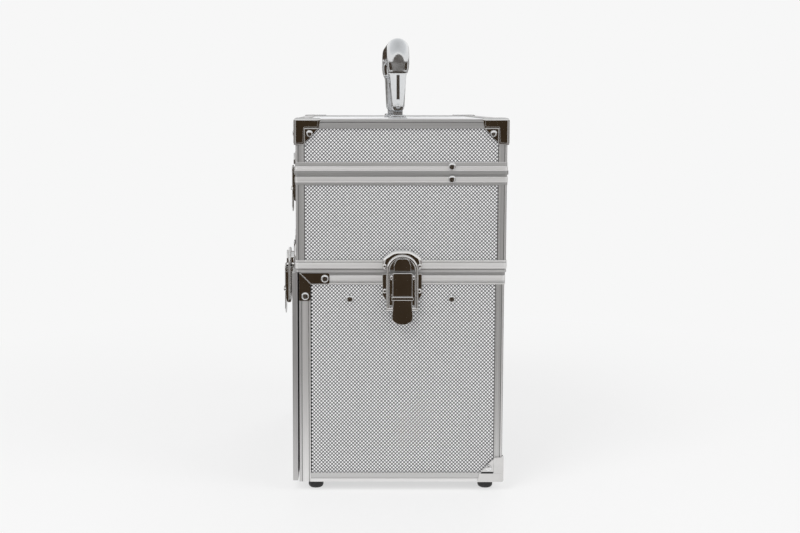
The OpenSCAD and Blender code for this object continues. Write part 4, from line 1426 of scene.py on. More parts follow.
@dataclass
class Latches:
    """Five draw latches: base plates, hooked catches, levers and bails.

    Attributes:
        finish: Material of every part.
        pivot: Distance out and height of the lever's pivot.
        bail_pivot: The same of the bail's pivot.
        reach: Half width of the bail to the middle of its wire.
        wire: Half thickness and half width of the bail's flattened wire.
        arch_top: Height of the bail's top.
        base_screws: Distance from the middle, height and distance out of the base's screws.
        catch_screws: The same of the catch's screws.
    """

    finish: Material
    pivot: Point2 = (7.0, -4.0)
    bail_pivot: Point2 = (5.0, -38.0)
    reach: float = 14.8
    wire: Point2 = (1.5, 1.85)
    arch_top: float = 18.9
    base_screws: Point3 = (18.0, -19.4, 1.4)
    catch_screws: Point3 = (18.4, 7.0, 2.7)

    def places(self) -> dict[str, LatchPlace]:
        """Finds the five latches from the places of the case's rails.

        Returns:
            The latches by name.
        """
        seam = corners_of("upper_bottom_rail")[0].z
        lid_seam = corners_of("lid_bottom_rail")[0].z
        lower, upper = Tier.of("lower_base_rail"), Tier.of("upper_top_rail")
        front = corners_of("door_frame")[0].y
        out = sum(corner.x for corner in corners_of("right_door_lever")) / 2
        head, rim, door = (1.8, 12.6), (1.8, -12.6), (1.0, -11.0)
        step = upper.front - front
        end, middle = lower.half_x, lower.middle
        made = (
            LatchPlace("right_side", Axis.RIGHT, (end, middle, seam), 0.0, rim, head),
            LatchPlace("left_side", Axis.LEFT, (-end, middle, seam), 0.0, rim, head),
            LatchPlace("right_door", Axis.FRONT, (out, front, seam), step, door, head),
            LatchPlace("left_door", Axis.FRONT, (-out, front, seam), step, door, head),
            LatchPlace(
                "lid", Axis.FRONT, (0, upper.front, lid_seam), 0.0, (1.8, -10.8), (1.8, 12.9), 4.3
            ),
        )
        return {place.name: place for place in made}

    def lever(self) -> list[Shape]:
        """Shapes one lever: dished plate, raised step with wings, finger tab and two cheeks.

        Returns:
            The shapes.
        """
        face = [Bend(10.3, -24.2), Bend(10.3, 0.6, 2.0)]
        step = [Bend(11.6, -28.0, 1.0), Bend(11.0, -24.4, 1.0)]
        tab = [
            Bend(4.0, -53.8, 9.0), Bend(11.0, -49.5, 9.0), Bend(10.6, -42.0, 5.0), Bend(9.2, -27.0)
        ]
        end = self.bail_pivot[1] - 3.0
        cheek = [
            Bend(end, 3.2, 2.6), Bend(end, 8.2, 2.4), Bend(-30.0, 9.8, 4.0), Bend(-2.0, 9.8, 2.0),
            Bend(-0.9, 4.4, 2.4), Bend(-7.0, 4.2, 2.4), Bend(-30.0, 5.4, 4.0),
        ]
        return [
            Shape(plate(mirrored(face), 8.8, 10.4), 0.7, 3),
            Shape(plate(mirrored(step), 8.9, 11.6), 0.8, 3),
            Shape(plate(mirrored(tab), 8.9, 10.3), 0.5, 3),
        ] + [Shape(sideways(cheek, 8.8, 10.3, sign), 0.3) for sign in (1, -1)]

    def bail(self) -> list[Shape]:
        """Shapes one bail: a flattened wire hoop with a bar through the lever.

        Returns:
            The shapes.
        """
        out, foot = self.bail_pivot
        thick, wide = self.wire
        arch = self.arch_top - wide - self.reach
        leg = [Vector((self.reach, foot * share, out)) for share in (1, 0.5)]
        path = list(leg)
        for k in range(19):
            turn = math.radians(180 * k / 18)
            x, y = self.reach * math.cos(turn), arch + self.reach * math.sin(turn)
            path.append(Vector((x, y, out)))
        path += [Vector((-p.x, p.y, p.z)) for p in reversed(leg)]
        side = Vector((0, 0, 1))
        turns = [math.radians(a) for a in range(0, 360, 24)]
        hoop = lofted([
            [point + side * thick * math.cos(t) + across * wide * math.sin(t) for t in turns]
            for point, across in crossings(path, side)
        ])
        return [Shape(hoop, 0.0, 1), Shape(rod((-16.6, foot, out), (16.6, foot, out), 1.75), 0.3)]

    def base(self, place: LatchPlace) -> list[Shape]:
        """Shapes one base plate with a turned rim, a filler below the rail, ears and a pin.

        Args:
            place: Where the latch sits.

        Returns:
            The shapes.
        """
        deep, rail = place.foot_pad
        half = [Bend(14.0, -35.0, 3.0), Bend(20.7, -24.0, 5.0), Bend(20.7, -1.4, 1.2)]
        filler = [Bend(13.6, -34.6, 3.0), Bend(20.3, -24.0, 5.0), Bend(20.3, rail - 0.3)]
        out, high = self.pivot
        ear = [
            Bend(high - 3.0, 1.0), Bend(high - 3.0, out + 3.0, 2.9),
            Bend(high + 2.6, out + 3.0, 2.6), Bend(high + 2.6, 1.0),
        ]
        return [
            Shape(plate(mirrored(half), 0.0, 1.5), 0.6, 3),
            Shape(plate(mirrored(filler), -deep, 0.4), 0.1, 1),
            *(Shape(sideways(ear, 10.8, 12.3, sign), 0.3) for sign in (1, -1)),
            Shape(rod((-12.9, high, out), (12.9, high, out), 1.45), 0.4),
            *self.screws(self.base_screws, 0.0, 2.4, 1.2),
        ]

    def catch(self, place: LatchPlace) -> list[Shape]:
        """Shapes one arched catch plate with its rim, hooked boss and filler above the rail.

        Args:
            place: Where the latch sits.

        Returns:
            The shapes.
        """
        deep, (pad, rail) = -place.step, place.head_pad
        half = [Bend(20.9, place.catch_low, 3.6), Bend(20.9, 15.0, 12.0), Bend(9.0, 23.4, 15.0)]
        filler = [Bend(20.4, rail + 0.3, 0.5), Bend(17.0, 17.2, 5.0), Bend(8.2, 22.9, 9.0)]
        boss = [Bend(8.5, 2.4, 0.3), Bend(8.5, 9.0, 3.0), Bend(5.4, 14.0, 4.6)]
        hook = [Bend(8.5, 2.2, 0.5), Bend(8.9, 7.6, 3.0), Bend(6.2, 15.2, 6.0)]
        return [
            Shape(pillow(mirrored(half), deep + 0.8, deep + 3.2, 4.2), 0.0, 1),
            Shape(plate(mirrored(filler), deep - pad, deep + 0.3), 0.1, 1),
            Shape(plate(mirrored(boss), deep + 1.0, 7.2), 0.3),
            Shape(plate(mirrored(hook), 7.0, 8.5), 1.0, 4),
            *self.screws(self.catch_screws, deep, 2.3, 1.3),
        ]

    def screws(self, at: Point3, deep: float, radius: float, height: float) -> list[Shape]:
        """Shapes the two screw heads of a plate.

        Args:
            at: Distance from the middle, height and distance out.
            deep: How much further out the plate lies.
            radius: Radius of a head.
            height: Height of a head.

        Returns:
            The shapes.
        """
        shapes = []
        for sign in (1, -1):
            mesh = dome(radius, height)
            bmesh.ops.translate(mesh, vec=(sign * at[0], at[1], at[2] + deep), verts=mesh.verts)
            shapes.append(Shape(mesh))
        return shapes

    def build(self) -> None:
        """Makes every latch, gathering plates by the CAD node that they stand for."""
        places = self.places()
        for name, place in places.items():
            for part, shapes in (("lever", self.lever()), ("bail", self.bail())):
                piece = Workpiece(f"{name}_latch_{part}", self.finish)
                piece.take(place.matrix, *shapes)
                piece.stand_for(f"{name}_{part}")
        sides, doors = ("right_side", "left_side"), ("right_door", "left_door")
        for node, names, shaped in (
            ("side_latch_bases", sides, self.base), ("door_latch_bases", doors, self.base),
            ("lid_latch_base", ("lid",), self.base),
            ("upper_latch_catches", sides + doors, self.catch),
            ("lid_latch_catch", ("lid",), self.catch),
        ):
            piece = Workpiece(node + "_plates", self.finish)
            for name in names:
                piece.take(places[name].matrix, *shaped(places[name]))
            piece.stand_for(node)


@dataclass
class CornerCaps:
    """Folded corner caps of the lid and the lower box, and the angle brackets under the rim.

    Attributes:
        finish: Material of the caps and brackets.
        leg: Length of a cap's leg along an edge.
        width: Width of its bands on the upright faces.
        sheet: Thickness of its sheet.
        edge: Radius of its rounded outer edges.
        low_painted_shade: Painted shade that dims the lower box's caps.
        gap_painted_shadow: Painted shadow of the near-black strip along their rail.
        bead: Radius of the beads on the lid's caps.
    """

    finish: Material
    leg: float = 27.0
    width: float = 10.2
    sheet: float = 0.8
    edge: float = 2.2
    low_painted_shade: float = 0.16
    gap_painted_shadow: float = 0.97
    bead: float = 0.6

    def face_plates(self, rail: float, low: bool) -> list[Shape]:
        """Shapes one upright face of a cap, in a plane with its own corner at the origin.

        X runs along the rail, away from the corner, and -Y along the post; Z points outwards.

        Args:
            rail: Height of the rail that the cap sits on.
            low: Whether the cap is on the lower box: painted shade, and painted shadow in the
                rail's gap.

        Returns:
            The shapes.
        """
        t, leg, wide, edge, line = self.sheet, self.leg, self.width, self.edge - self.sheet, -rail
        rim = [Bend(edge, -edge), Bend(leg - 0.2, -edge), Bend(leg - 1.8, line), Bend(edge, line)]
        side = [
            Bend(edge, line + 0.5), Bend(wide, line + 0.5), Bend(wide, -leg + 0.8),
            Bend(edge, -leg + 0.1),
        ]
        flap = [
            Bend(wide - 0.4, line + 0.4), Bend(leg - 2.2, line + 0.4, 0.8),
            Bend(leg - 4.6, line - 2.2, 2.0), Bend(wide + 4.2, -leg + 6.2, 2.0),
            Bend(wide - 0.4, -leg + 2.2, 0.8),
        ]
        crease = [
            Bend(1.2, -1.2, 0.8), Bend(leg - 2.4, -1.6, 0.6), Bend(leg - 3.2, line + 1.6, 0.6),
            Bend(wide - 0.6, line + 1.6, 1.2), Bend(wide - 1.6, -leg + 2.2, 0.6),
            Bend(1.2, -leg + 1.6, 0.6),
        ]
        lining = [Bend(wide - 0.2, line + 0.2), Bend(leg - 3.4, line + 0.2)]
        lining.append(Bend(wide - 0.2, -leg + 3.4))
        # Outline of a strip painted near black: a painted shadow for the dark gap along the rail.
        gap = [
            Bend(wide + 0.3, line + 0.5), Bend(leg - 3.4, line + 0.5), Bend(leg - 4.2, line - 1.0),
            Bend(wide + 0.3, line - 1.0),
        ]
        # Painted shade that dims the lower box's caps.
        tone = self.low_painted_shade if low else 0.0
        shapes = [
            Shape(plate(outline, start, end), rounding, 3, tone)
            for outline, start, end, rounding in (
                (rim, 0.0, t, 0.6), (side, -1.0, t, 0.6), (flap, -0.9, 0.1, 0.35),
                (lining, -1.9, -0.8, 0.0),
            )
        ]
        if low:
            return shapes + [Shape(plate(gap, 0.0, t + 0.1), 0.0, 3, self.gap_painted_shadow)]
        elbow, ends = (wide, line, t - 0.1), ((leg - 2.8, line), (wide, -leg + 1.2))
        return shapes + [Shape(plate(crease, t - 0.4, t + 0.35), 0.5, 3)] + [
            Shape(rod(elbow, (*end, t - 0.1), self.bead, 16)) for end in ends
        ]

    def cap(self, piece: Workpiece, corner: Point3, side: Point3, rail: float) -> None:
        """Adds one cap with its two upright faces and its flat face.

        Args:
            piece: The piece to add to.
            corner: Corner of the three rail faces.
            side: Signs of the corner's outward directions.
            rail: Height of the rail.
        """
        sx, sy, sz = side
        low = sz < 0
        # Painted shade that dims the lower box's caps.
        tone = self.low_painted_shade if low else 0.0
        back_x, back_y, up = (-sx, 0, 0), (0, -sy, 0), (0, 0, sz)
        for out, along in (((sx, 0, 0), back_y), ((0, sy, 0), back_x)):
            piece.take(placed(along, up, out, corner), *self.face_plates(rail, low))
        leg, wide, edge = self.leg, self.width, self.edge - self.sheet
        flat = [
            Bend(edge, edge), Bend(leg - 0.2, edge), Bend(leg - 0.6, wide, 0.6),
            Bend(wide + 2.0, wide + 1.0, 3.0), Bend(wide, leg - 0.6, 0.6), Bend(edge, leg - 0.2),
        ]
        piece.take(
            placed(back_x, back_y, up, corner), Shape(plate(flat, 0.0, self.sheet), 0.35, 3, tone)
        )
        ball = bmesh.new()
        bmesh.ops.create_uvsphere(ball, u_segments=24, v_segments=12, radius=self.edge)
        inner = Vector(corner) - Vector(side) * edge
        piece.take(Matrix.Translation(inner), Shape(ball, tone=tone))
        for way in (back_x, back_y, (0, 0, -sz)):
            end = inner + Vector(way) * (leg - edge - 0.1)
            piece.take(Matrix.Identity(4), Shape(rod(inner, end, self.edge, 24), tone=tone))

    def brackets(self, tier: Tier) -> None:
        """Replaces the two angle brackets, each creased from its corner to its elbow.

        Args:
            tier: Outline of the lower box.
        """
        piece = Workpiece("rim_angles", self.finish)
        seam = corners_of("upper_bottom_rail")[0].z
        arm, drop, wide, gap, t = 32.0, 30.0, 12.0, 0.6, 1.0
        level = [Bend(0.2, -gap, 0.4), Bend(arm, -gap, 2.4), Bend(arm, -wide, 2.4)]
        level.append(Bend(wide, -wide))
        upright = [Bend(0.2, -gap, 0.4), Bend(wide, -wide), Bend(wide, -drop, 2.4)]
        upright.append(Bend(0.2, -drop, 1.2))
        fold = [Bend(x, -gap - 0.1) for x in (0.3, 1.7)]
        fold += [Bend(wide + 0.2, -wide + y) for y in (0.9, -0.5)]
        backing = [
            Bend(x, y) for x, y in (
                (0.4, -wide - 1.0), (wide - 0.3, -wide - 1.0), (wide - 0.3, -drop + 0.3),
                (0.4, -drop + 0.3),
            )
        ]
        for sign in (1, -1):
            place = placed(
                (0, 1, 0), (0, 0, 1), (sign, 0, 0), (sign * tier.half_x, tier.front, seam)
            )
            for outline, low, high, rounding in (
                (level, 0.0, t, 0.3), (upright, -0.3, t - 0.15, 0.3),
                (fold, t - 0.4, t + 0.25, 0.3), (backing, -0.5, 0.0, 0.0),
            ):
                piece.take(place, Shape(plate(outline, low, high), rounding, 3))
        piece.stand_for("rim_brackets")

    def build(self) -> None:
        """Replaces all caps and brackets."""
        upper, lower = Tier.of("upper_top_rail"), Tier.of("lower_base_rail")
        lid, base = corners_of("lid_top_rail"), corners_of("lower_base_rail")
        for name, node, tier, (low, high), sides in (
            ("lid_caps", "lid_corner_caps", upper, lid,
             ((1, 1, 1), (1, -1, 1), (-1, 1, 1), (-1, -1, 1))),
            ("lower_caps", "lower_corner_caps", lower, base, ((1, 1, -1), (-1, 1, -1))),
        ):
            piece = Workpiece(name, self.finish)
            for side in sides:
                sx, sy, sz = side
                level = high.z if sz > 0 else low.z
                corner = (sx * tier.half_x, tier.rear if sy > 0 else tier.front, level)
                self.cap(piece, corner, side, high.z - low.z)
            piece.stand_for(node)
        self.brackets(lower)


@dataclass
class Handle:
    """Chromed tube handle with flats on its bends, whose grooved legs turn on low brackets.

    Attributes:
        finish: Material of the handle and its brackets.
        grip: Radius of the grip.
        bend: Radius of the bends' middle line.
        pin: Height of the pins over the lid.
        leg: Distance of a leg's middle line from the handle's end.
        neck: Height above the pivot at which a leg grows into the tube.
        half_width: Half width of a leg at heights above the pivot.
        inner: Distance of a leg's inner face from its middle line at heights above the pivot.
        outer: The same of its outer face.
        slot: Half width, depth line, start and end of the groove.
    """

    finish: Material
    grip: float = 12.4
    bend: float = 17.0
    pin: float = 13.0
    leg: float = 7.0
    neck: float = 37.0
    half_width: Sequence[Point2] = (
        (-6.6, 2.6), (-6.0, 4.4), (-4.6, 5.8), (-2.4, 6.8), (0, 7.2), (33, 8.9), (37.5, 11.0),
        (41, 12.0), (46, 12.4),
    )
    inner: Sequence[Point2] = (
        (-6.6, 2.4), (-6.0, 4.0), (0, 5.0), (33, 7.6), (37.5, 10.6), (41, 12.0), (46, 12.4)
    )
    outer: Sequence[Point2] = (
        (-6.6, 4.6), (-6.0, 6.4), (-5.0, 7.3), (0, 7.2), (36.9, 2.9), (37.5, 10.0), (60, 9.3)
    )
    slot: Sequence[float] = (1.5, 1.6, 7.0, 34.0)

    @staticmethod
    def level(height: float, stops: Sequence[Point2]) -> float:
        """Reads a value at a height.

        Args:
            height: The height.
            stops: Heights, rising, and their values.

        Returns:
            The value, in proportion between two stops.
        """
        if height <= stops[0][0]:
            return stops[0][1]
        for (low, start), (high, end) in zip(stops, stops[1:]):
            if height < high:
                return start + (end - start) * (height - low) / (high - low)
        return stops[-1][1]

    def path(self, x: float, middle: float, foot: float, top: float) -> list[Vector]:
        """Gives the middle line from one leg's foot over the grip to the other leg's foot.

        Args:
            x: Distance of the legs from the case's middle.
            middle: Y of the handle's middle.
            foot: Height of the pins.
            top: Height of the grip's middle line.

        Returns:
            The points of the line.
        """
        groove, end, neck = self.slot[2], self.slot[3], self.neck
        rises = [-6.6, -6.0, -5.0, -3.6, -2.0, 0.0, 3.0, groove - 0.2, groove + 0.2]
        rises += [groove + (end - groove) * k / 8 for k in range(1, 8)]
        rises += [end - 0.2, end + 0.2, neck - 0.3, neck, neck + 0.6, neck + 2.0, neck + 4.0]
        rise = [Vector((x, middle, foot + step)) for step in rises]
        for k in range(25):
            turn = math.radians(90 * k / 24)
            back, up = self.bend * (1 - math.cos(turn)), self.bend * math.sin(turn)
            rise.append(Vector((x - back, middle, top - self.bend + up)))
        rise += [Vector((x - self.bend - step, middle, top)) for step in (5.0, 12.0, 30.0)]
        return rise + [Vector((-p.x, p.y, p.z)) for p in reversed(rise)]

    def section(self, rise: float) -> list[Point2]:
        """Gives the section of the handle, its outer half first.

        Args:
            rise: Height above the pivot.

        Returns:
            Points along Y and across the path.
        """
        wide, inner = self.level(rise, self.half_width), self.level(rise, self.inner)
        power = self.level(rise, ((self.neck, 0.62), (self.neck + 1.0, 1.0)))
        outer = max(inner, 9.0) if rise < self.neck else self.grip
        turns = [math.radians(7.5 * k) for k in range(11)]
        curve = [(wide * math.cos(t) ** power, math.sin(t) ** power) for t in turns]
        lip = self.slot[0]
        half = [(a, outer * b) for a, b in curve] + [
            (a, outer * (1 - (a / wide) ** (2 / power)) ** (power / 2)) for a in (lip + 0.2, lip)
        ]
        under = [(a, inner * b) for a, b in curve[1:]] + [(0.0, inner)]
        return (
            half + [(0.0, outer)] + [(-a, b) for a, b in reversed(half)]
            + [(-a, -b) for a, b in under] + [(a, -b) for a, b in reversed(under[:-1])]
        )

    def build(self) -> None:
        """Replaces the handle and its brackets."""
        low, high = corners_of("handle")
        foot = corners_of("lid_top_rail")[1].z + self.pin
        leg_x, middle = (high.x - low.x) / 2 - self.leg, (low.y + high.y) / 2
        path = self.path(leg_x, middle, foot, high.z - self.grip - 0.1)
        half_slot, floor, start, end = self.slot
        side = Vector((0, 1, 0))
        rings = []
        for point, across in crossings(path, side):
            rise = point.z - foot
            face = leg_x + self.level(rise, self.outer)
            ring = []
            for a, b in self.section(rise):
                spot = point + side * a + across * b
                grooved = start < rise < end and abs(a) <= half_slot
                limit = leg_x + floor if grooved else face
                spot.x = max(-limit, min(limit, spot.x))
                ring.append(spot)
            rings.append(ring)
        piece = Workpiece("carrying_handle", self.finish)
        tube = new_object("handle_tube", lofted(rings), self.finish)
        piece.parts.append(softened(tube, 0, angle=35))
        for axis, sign in ((Axis.RIGHT, 1), (Axis.LEFT, -1)):
            place = axis.matrix((sign * (leg_x + 7.1), middle, foot - 0.4))
            piece.take(place, Shape(dome(2.7, 1.5)))
        piece.stand_for("handle")
        self.brackets(leg_x, middle, foot)

    def brackets(self, leg_x: float, middle: float, pivot: float) -> None:
        """Replaces the two brackets: a foot plate, a low boss and a lug inside the leg.

        Args:
            leg_x: Distance of a leg's middle from the case's middle.
            middle: Y of the handle's middle.
            pivot: Height of the pins.
        """
        piece = Workpiece("handle_feet", self.finish)
        low, high = corners_of("handle_brackets")
        half_x, half_y = high.x - leg_x, (high.y - low.y) / 2
        tip = pivot - low.z + 5.0
        lug = [Bend(-5.2, 3.0), Bend(5.2, 3.0), Bend(5.2, tip, 5.0), Bend(-5.2, tip, 5.0)]
        for sign in (1, -1):
            centre = (sign * leg_x, middle, low.z)
            for x, y, start, end, rounding in (
                (half_x, half_y, 0.0, 1.6, 0.5), (half_x - 1.6, half_y - 1.4, 1.0, 4.6, 1.0)
            ):
                outline = [Bend(x, y, 3.0), Bend(-x, y, 3.0), Bend(-x, -y, 3.0), Bend(x, -y, 3.0)]
                shape = Shape(plate(outline, start, end), rounding, 3)
                piece.take(Matrix.Translation(centre), shape)
            piece.take(Axis.RIGHT.matrix(centre), Shape(plate(lug, -3.6, 3.6), 0.5, 3))
        piece.stand_for("handle_brackets")


@dataclass
class Rivets:
    """Domed rivet heads, one instance on each marked point.

    Attributes:
        finish: Material of the heads and studs.
        height: Height of a head over its rim.
        sink: Depth of a head's foot in the board.
        segments: Number of faces around a head.
        seed: Seed of the heads' turns.
    """

    finish: Material
    height: float = 1.7
    sink: float = 0.6
    segments: int = 32
    seed: int = 4
    tree: bpy.types.NodeTree = field(init=False)

    def __post_init__(self) -> None:
        """Builds the tree that sets a head on every point."""
        self.tree = self.head_tree()

    def head_tree(self) -> bpy.types.NodeTree:
        """Builds a geometry tree that puts a dome on each point of a mesh.

        Returns:
            The tree, with inputs Geometry, Height, Sink, Segments and Seed; a point's "facing"
            and "radius" place its head.
        """
        graph = Graph(bpy.data.node_groups.new("rivet_heads", "GeometryNodeTree"))
        graph.sockets("Geometry", Geometry=None)
        graph.sockets("Float", Height=0.002, Sink=0.0006)
        graph.sockets("Int", Segments=32, Seed=4)
        graph.sockets("Geometry", "OUTPUT", Geometry=None)
        given = graph.add("NodeGroupInput").outputs
        ball = {"Segments": given["Segments"], "Rings": 16, "Radius": 1.0}
        ball = graph.out("GeometryNodeMeshUVSphere", ball)
        place = graph.apart(graph.out("GeometryNodeInputPosition"))
        crown = graph.math("POWER", graph.math("MAXIMUM", place["Z"], 0.0), 0.42)
        raised = graph.math("MULTIPLY", crown, given["Height"])
        below = graph.math("LESS_THAN", place["Z"], -0.01)
        level = graph.math("SUBTRACT", raised, graph.math("MULTIPLY", below, given["Sink"]))
        spot = {"X": place["X"], "Y": place["Y"], "Z": level}
        spot = graph.out("ShaderNodeCombineXYZ", spot)
        head = graph.out("GeometryNodeSetPosition", {"Geometry": ball, "Position": spot})
        way, size = (
            graph.out("GeometryNodeInputNamedAttribute", {"Name": name}, data_type=kind)
            for name, kind in (("facing", "FLOAT_VECTOR"), ("radius", "FLOAT"))
        )
        turn = graph.out("FunctionNodeAlignRotationToVector", {"Vector": way}, axis="Z")
        chance = {3: 6.28, "Seed": given["Seed"]}
        angle = graph.add("FunctionNodeRandomValue", chance, data_type="FLOAT").outputs[1]
        spin = {"Axis": (0, 0, 1), "Angle": angle}
        spin = graph.out("FunctionNodeAxisAngleToRotation", spin)
        turn = graph.out("FunctionNodeRotateRotation", {0: turn, 1: spin}, rotation_space="LOCAL")
        scale = graph.out("ShaderNodeCombineXYZ", {"X": size, "Y": size, "Z": 1.0})
        heads = {"Points": given["Geometry"], "Instance": head, "Rotation": turn, "Scale": scale}
        done = graph.out("GeometryNodeInstanceOnPoints", heads)
        done = graph.out("GeometryNodeRealizeInstances", {"Geometry": done})
        done = graph.out("GeometryNodeSetShadeSmooth", {"Geometry": done})
        done = graph.out("GeometryNodeSetMaterial", {"Geometry": done, "Material": self.finish})
        graph.add("NodeGroupOutput", {0: done})
        return graph.tree

    def heads(self, name: str, spots: Sequence[tuple[Vector, Vector, float]]) -> Object:
        """Makes the heads of one body.

        Args:
            name: Name of the object.
            spots: Foot, outward direction and radius of each head.

        Returns:
            The heads as a plain mesh.
        """
        mesh = bmesh.new()
        facing = mesh.verts.layers.float_vector.new("facing")
        radius = mesh.verts.layers.float.new("radius")
        for foot, way, size in spots:
            vert = mesh.verts.new(foot)
            vert[facing], vert[radius] = way, size * MM
        obj = new_object(name, mesh, self.finish)
        grow = obj.modifiers.new("heads", "NODES")
        grow.node_group = self.tree
        set_inputs(
            grow, Height=self.height * MM, Sink=self.sink * MM, Segments=self.segments,
            Seed=self.seed,
        )
        return settled(obj)

    def replace(self, node: str) -> None:
        """Replaces the plain heads of a CAD node by domes and keeps its studs.

        Args:
            node: Name of the node.
        """
        spots, studs = [], []
        for low, high in solid_boxes(node):
            size, middle = high - low, (low + high) / 2
            small, medium, large = sorted(size)
            if abs(medium - large) > 0.3:
                ends = ((x, middle.y, middle.z) for x in (low.x, high.x))
                mesh = rod(*ends, small / 2)
                studs.append(softened(new_object("stud", mesh, self.finish), 0.2))
                continue
            thin = min(range(3), key=lambda i: size[i])
            way = Vector((0, 0, 0))
            way[thin] = math.copysign(1, middle[thin])
            spots.append((middle - way * size[thin] / 2, way, large / 2))
        name = node + "_heads"
        fit_out(joined(name, [self.heads(name, spots), *studs]), Slot.STEEL, node)

    def build(self) -> None:
        """Replaces the rivets of every tier."""
        for node in ("lower_rivets", "upper_rivets", "lid_rivets"):
            self.replace(node)


# ---------- studio ----------


@dataclass
class Studio:
    """Pale floor, soft lights, pale surroundings and the camera; lengths are in metres.

    Attributes:
        background: Brightness of the pale background.
        camera_at: Place of the camera.
        tilt: Downward tilt of the camera, in degrees.
        lens: Focal length in millimetres on a 36 mm sensor.
        shift: Shift of the picture against the camera's axis.
        floor_size: Half width of the floor.
        floor_fade: Distances at which the floor starts and ends to fade into the background.
        sheet_edge: Distances at which the pale sheet starts and ends to fade in reflections.
        room: Colour of the dark room in reflections.
        room_radius: Radius of the dark room.
        room_height: Height of its wall.
        corner_glow: Where the dark gives way to pale gaps towards the case's corners, as a sine.
        corner_dim: How dark the room is between two neighbouring gaps.
        ceiling_height: Height of the ceiling.
        ceiling_tones: Brightness of the ceiling in its middle and at its rim.
        lamps: Name, place, side and power in watts of each soft box.
    """

    background: float = 0.93
    camera_at: Point3 = (1.415, -0.0524, 0.4101)
    tilt: float = 5.5
    lens: float = 53.86
    shift: Point2 = (0.0671, -0.0601)
    floor_size: float = 12.0
    floor_fade: Point2 = (0.35, 0.9)
    sheet_edge: Point2 = (0.3, 0.62)
    room: Point3 = (0.040, 0.027, 0.016)
    room_radius: float = 4.0
    room_height: float = 0.9
    corner_glow: Point2 = (0.62, 0.8)
    corner_dim: float = 0.8
    ceiling_height: float = 2.6
    ceiling_tones: Point2 = (0.62, 0.85)
    lamps: Sequence[tuple[str, Point3, float, float]] = (
        ("key_light", (1.3, -0.9, 1.7), 1.0, 16),
        ("fill_light", (0.9, 1.5, 1.2), 1.0, 8),
        ("back_light", (-1.4, 0.2, 1.6), 1.2, 8),
    )

    @property
    def pale(self) -> Sequence[float]:
        """Colour of the background."""
        return (self.background,) * 3 + (1,)

    def build(self) -> None:
        """Makes the camera, the world, the floor, the reflected room and the lamps."""
        scene = bpy.context.scene
        scene.view_settings.view_transform = "Standard"
        data = bpy.data.cameras.new("camera")
        data.lens = self.lens
        data.shift_x, data.shift_y = self.shift
        data.clip_start, data.clip_end = 0.01, 50
        turn = (math.radians(90 - self.tilt), 0, math.radians(90))
        scene.camera = self.stand(data, self.camera_at, turn)
        self.world(scene)
        self.floor()
        self.dark_room()
        self.ceiling()
        for name, at, side, power in self.lamps:
            data = bpy.data.lights.new(name, "AREA")
            data.size, data.energy = side, power
            aim = Vector((0, 0, 0.2)) - Vector(at)
            lamp = self.stand(data, at, aim.to_track_quat("-Z", "Y").to_euler())
            lamp.visible_glossy = False

    def stand(self, data: bpy.types.ID, at: Point3, turn: Sequence[float]) -> Object:
        """Places a camera or a lamp.

        Args:
            data: The camera or lamp.
            at: Its place.
            turn: Its rotation.

        Returns:
            The new object.
        """
        obj = bpy.data.objects.new(data.name, data)
        bpy.context.scene.collection.objects.link(obj)
        obj.location, obj.rotation_euler = at, turn
        return obj

    def world(self, scene: bpy.types.Scene) -> None:
        """Makes the pale surroundings, a little darker as a light than as a background.

        Args:
            scene: The scene.
        """
        scene.world = bpy.data.worlds.new("studio")
        graph = Graph.of(scene.world)
        light, shown = (
            graph.out("ShaderNodeBackground", {"Color": colour, "Strength": strength})
            for colour, strength in (((1, 1, 1, 1), 0.55), (self.pale, 1.0))
        )
        mix = graph.out("ShaderNodeMixShader", {0: self.seen(graph), 1: light, 2: shown})
        graph.add("ShaderNodeOutputWorld", {"Surface": mix})

    def seen(self, graph: Graph) -> Socket:
        """Is 1 for camera, glossy and transmission rays.

        Args:
            graph: The node tree that needs it.

        Returns:
            The mask.
        """
        path = graph.add("ShaderNodeLightPath").outputs
        both = graph.math("MAXIMUM", path["Is Camera Ray"], path["Is Glossy Ray"])
        return graph.math("MAXIMUM", both, path["Is Transmission Ray"])

    def floor(self) -> None:
        """Makes the floor, which blends into the background and keeps the case's shadow."""
        mesh = bmesh.new()
        bmesh.ops.create_grid(mesh, x_segments=1, y_segments=1, size=self.floor_size / MM)
        material = bpy.data.materials.new("studio_floor")
        graph = Graph.of(material)
        far = graph.ranged(graph.distance(graph.here()), *self.floor_fade)
        plain = graph.out("ShaderNodeEmission", {"Color": self.pale, "Strength": 1.0})
        lit = graph.out("ShaderNodeBsdfDiffuse", {"Color": (0.97, 0.97, 0.97, 1)})
        near = graph.out("ShaderNodeMixShader", {0: 0.35, 1: plain, 2: lit})
        blend = graph.math("MULTIPLY", far, self.seen(graph))
        mix = graph.out("ShaderNodeMixShader", {0: blend, 1: near, 2: plain})
        graph.add("ShaderNodeOutputMaterial", {"Surface": mix})
        new_object("studio_floor", mesh, material)

    def glowing(self, name: str, mesh: Mesh, graph: Graph, colour: object, level: object) -> None:
        """Puts a glowing backdrop on the stage that only polished surfaces show.

        Args:
            name: Name of the backdrop and of its empty material.
            mesh: Its mesh.
            graph: The material's node tree.
            colour: Its colour.
            level: Its brightness.
        """
        glow = graph.out("ShaderNodeEmission", {"Color": colour, "Strength": level})
        graph.add("ShaderNodeOutputMaterial", {"Surface": glow})
        obj = new_object(name, mesh, bpy.data.materials[name])
        obj.visible_camera = obj.visible_diffuse = False
        obj.visible_shadow = obj.visible_transmission = False

    def disc(self, height: float) -> Mesh:
        """Makes a round face as wide as the dark room.

        Args:
            height: Its height in metres.

        Returns:
            The face.
        """
        mesh = bmesh.new()
        radius = self.room_radius / MM
        bmesh.ops.create_circle(mesh, cap_ends=True, segments=96, radius=radius)
        bmesh.ops.translate(mesh, vec=(0, 0, height / MM), verts=mesh.verts)
        return mesh

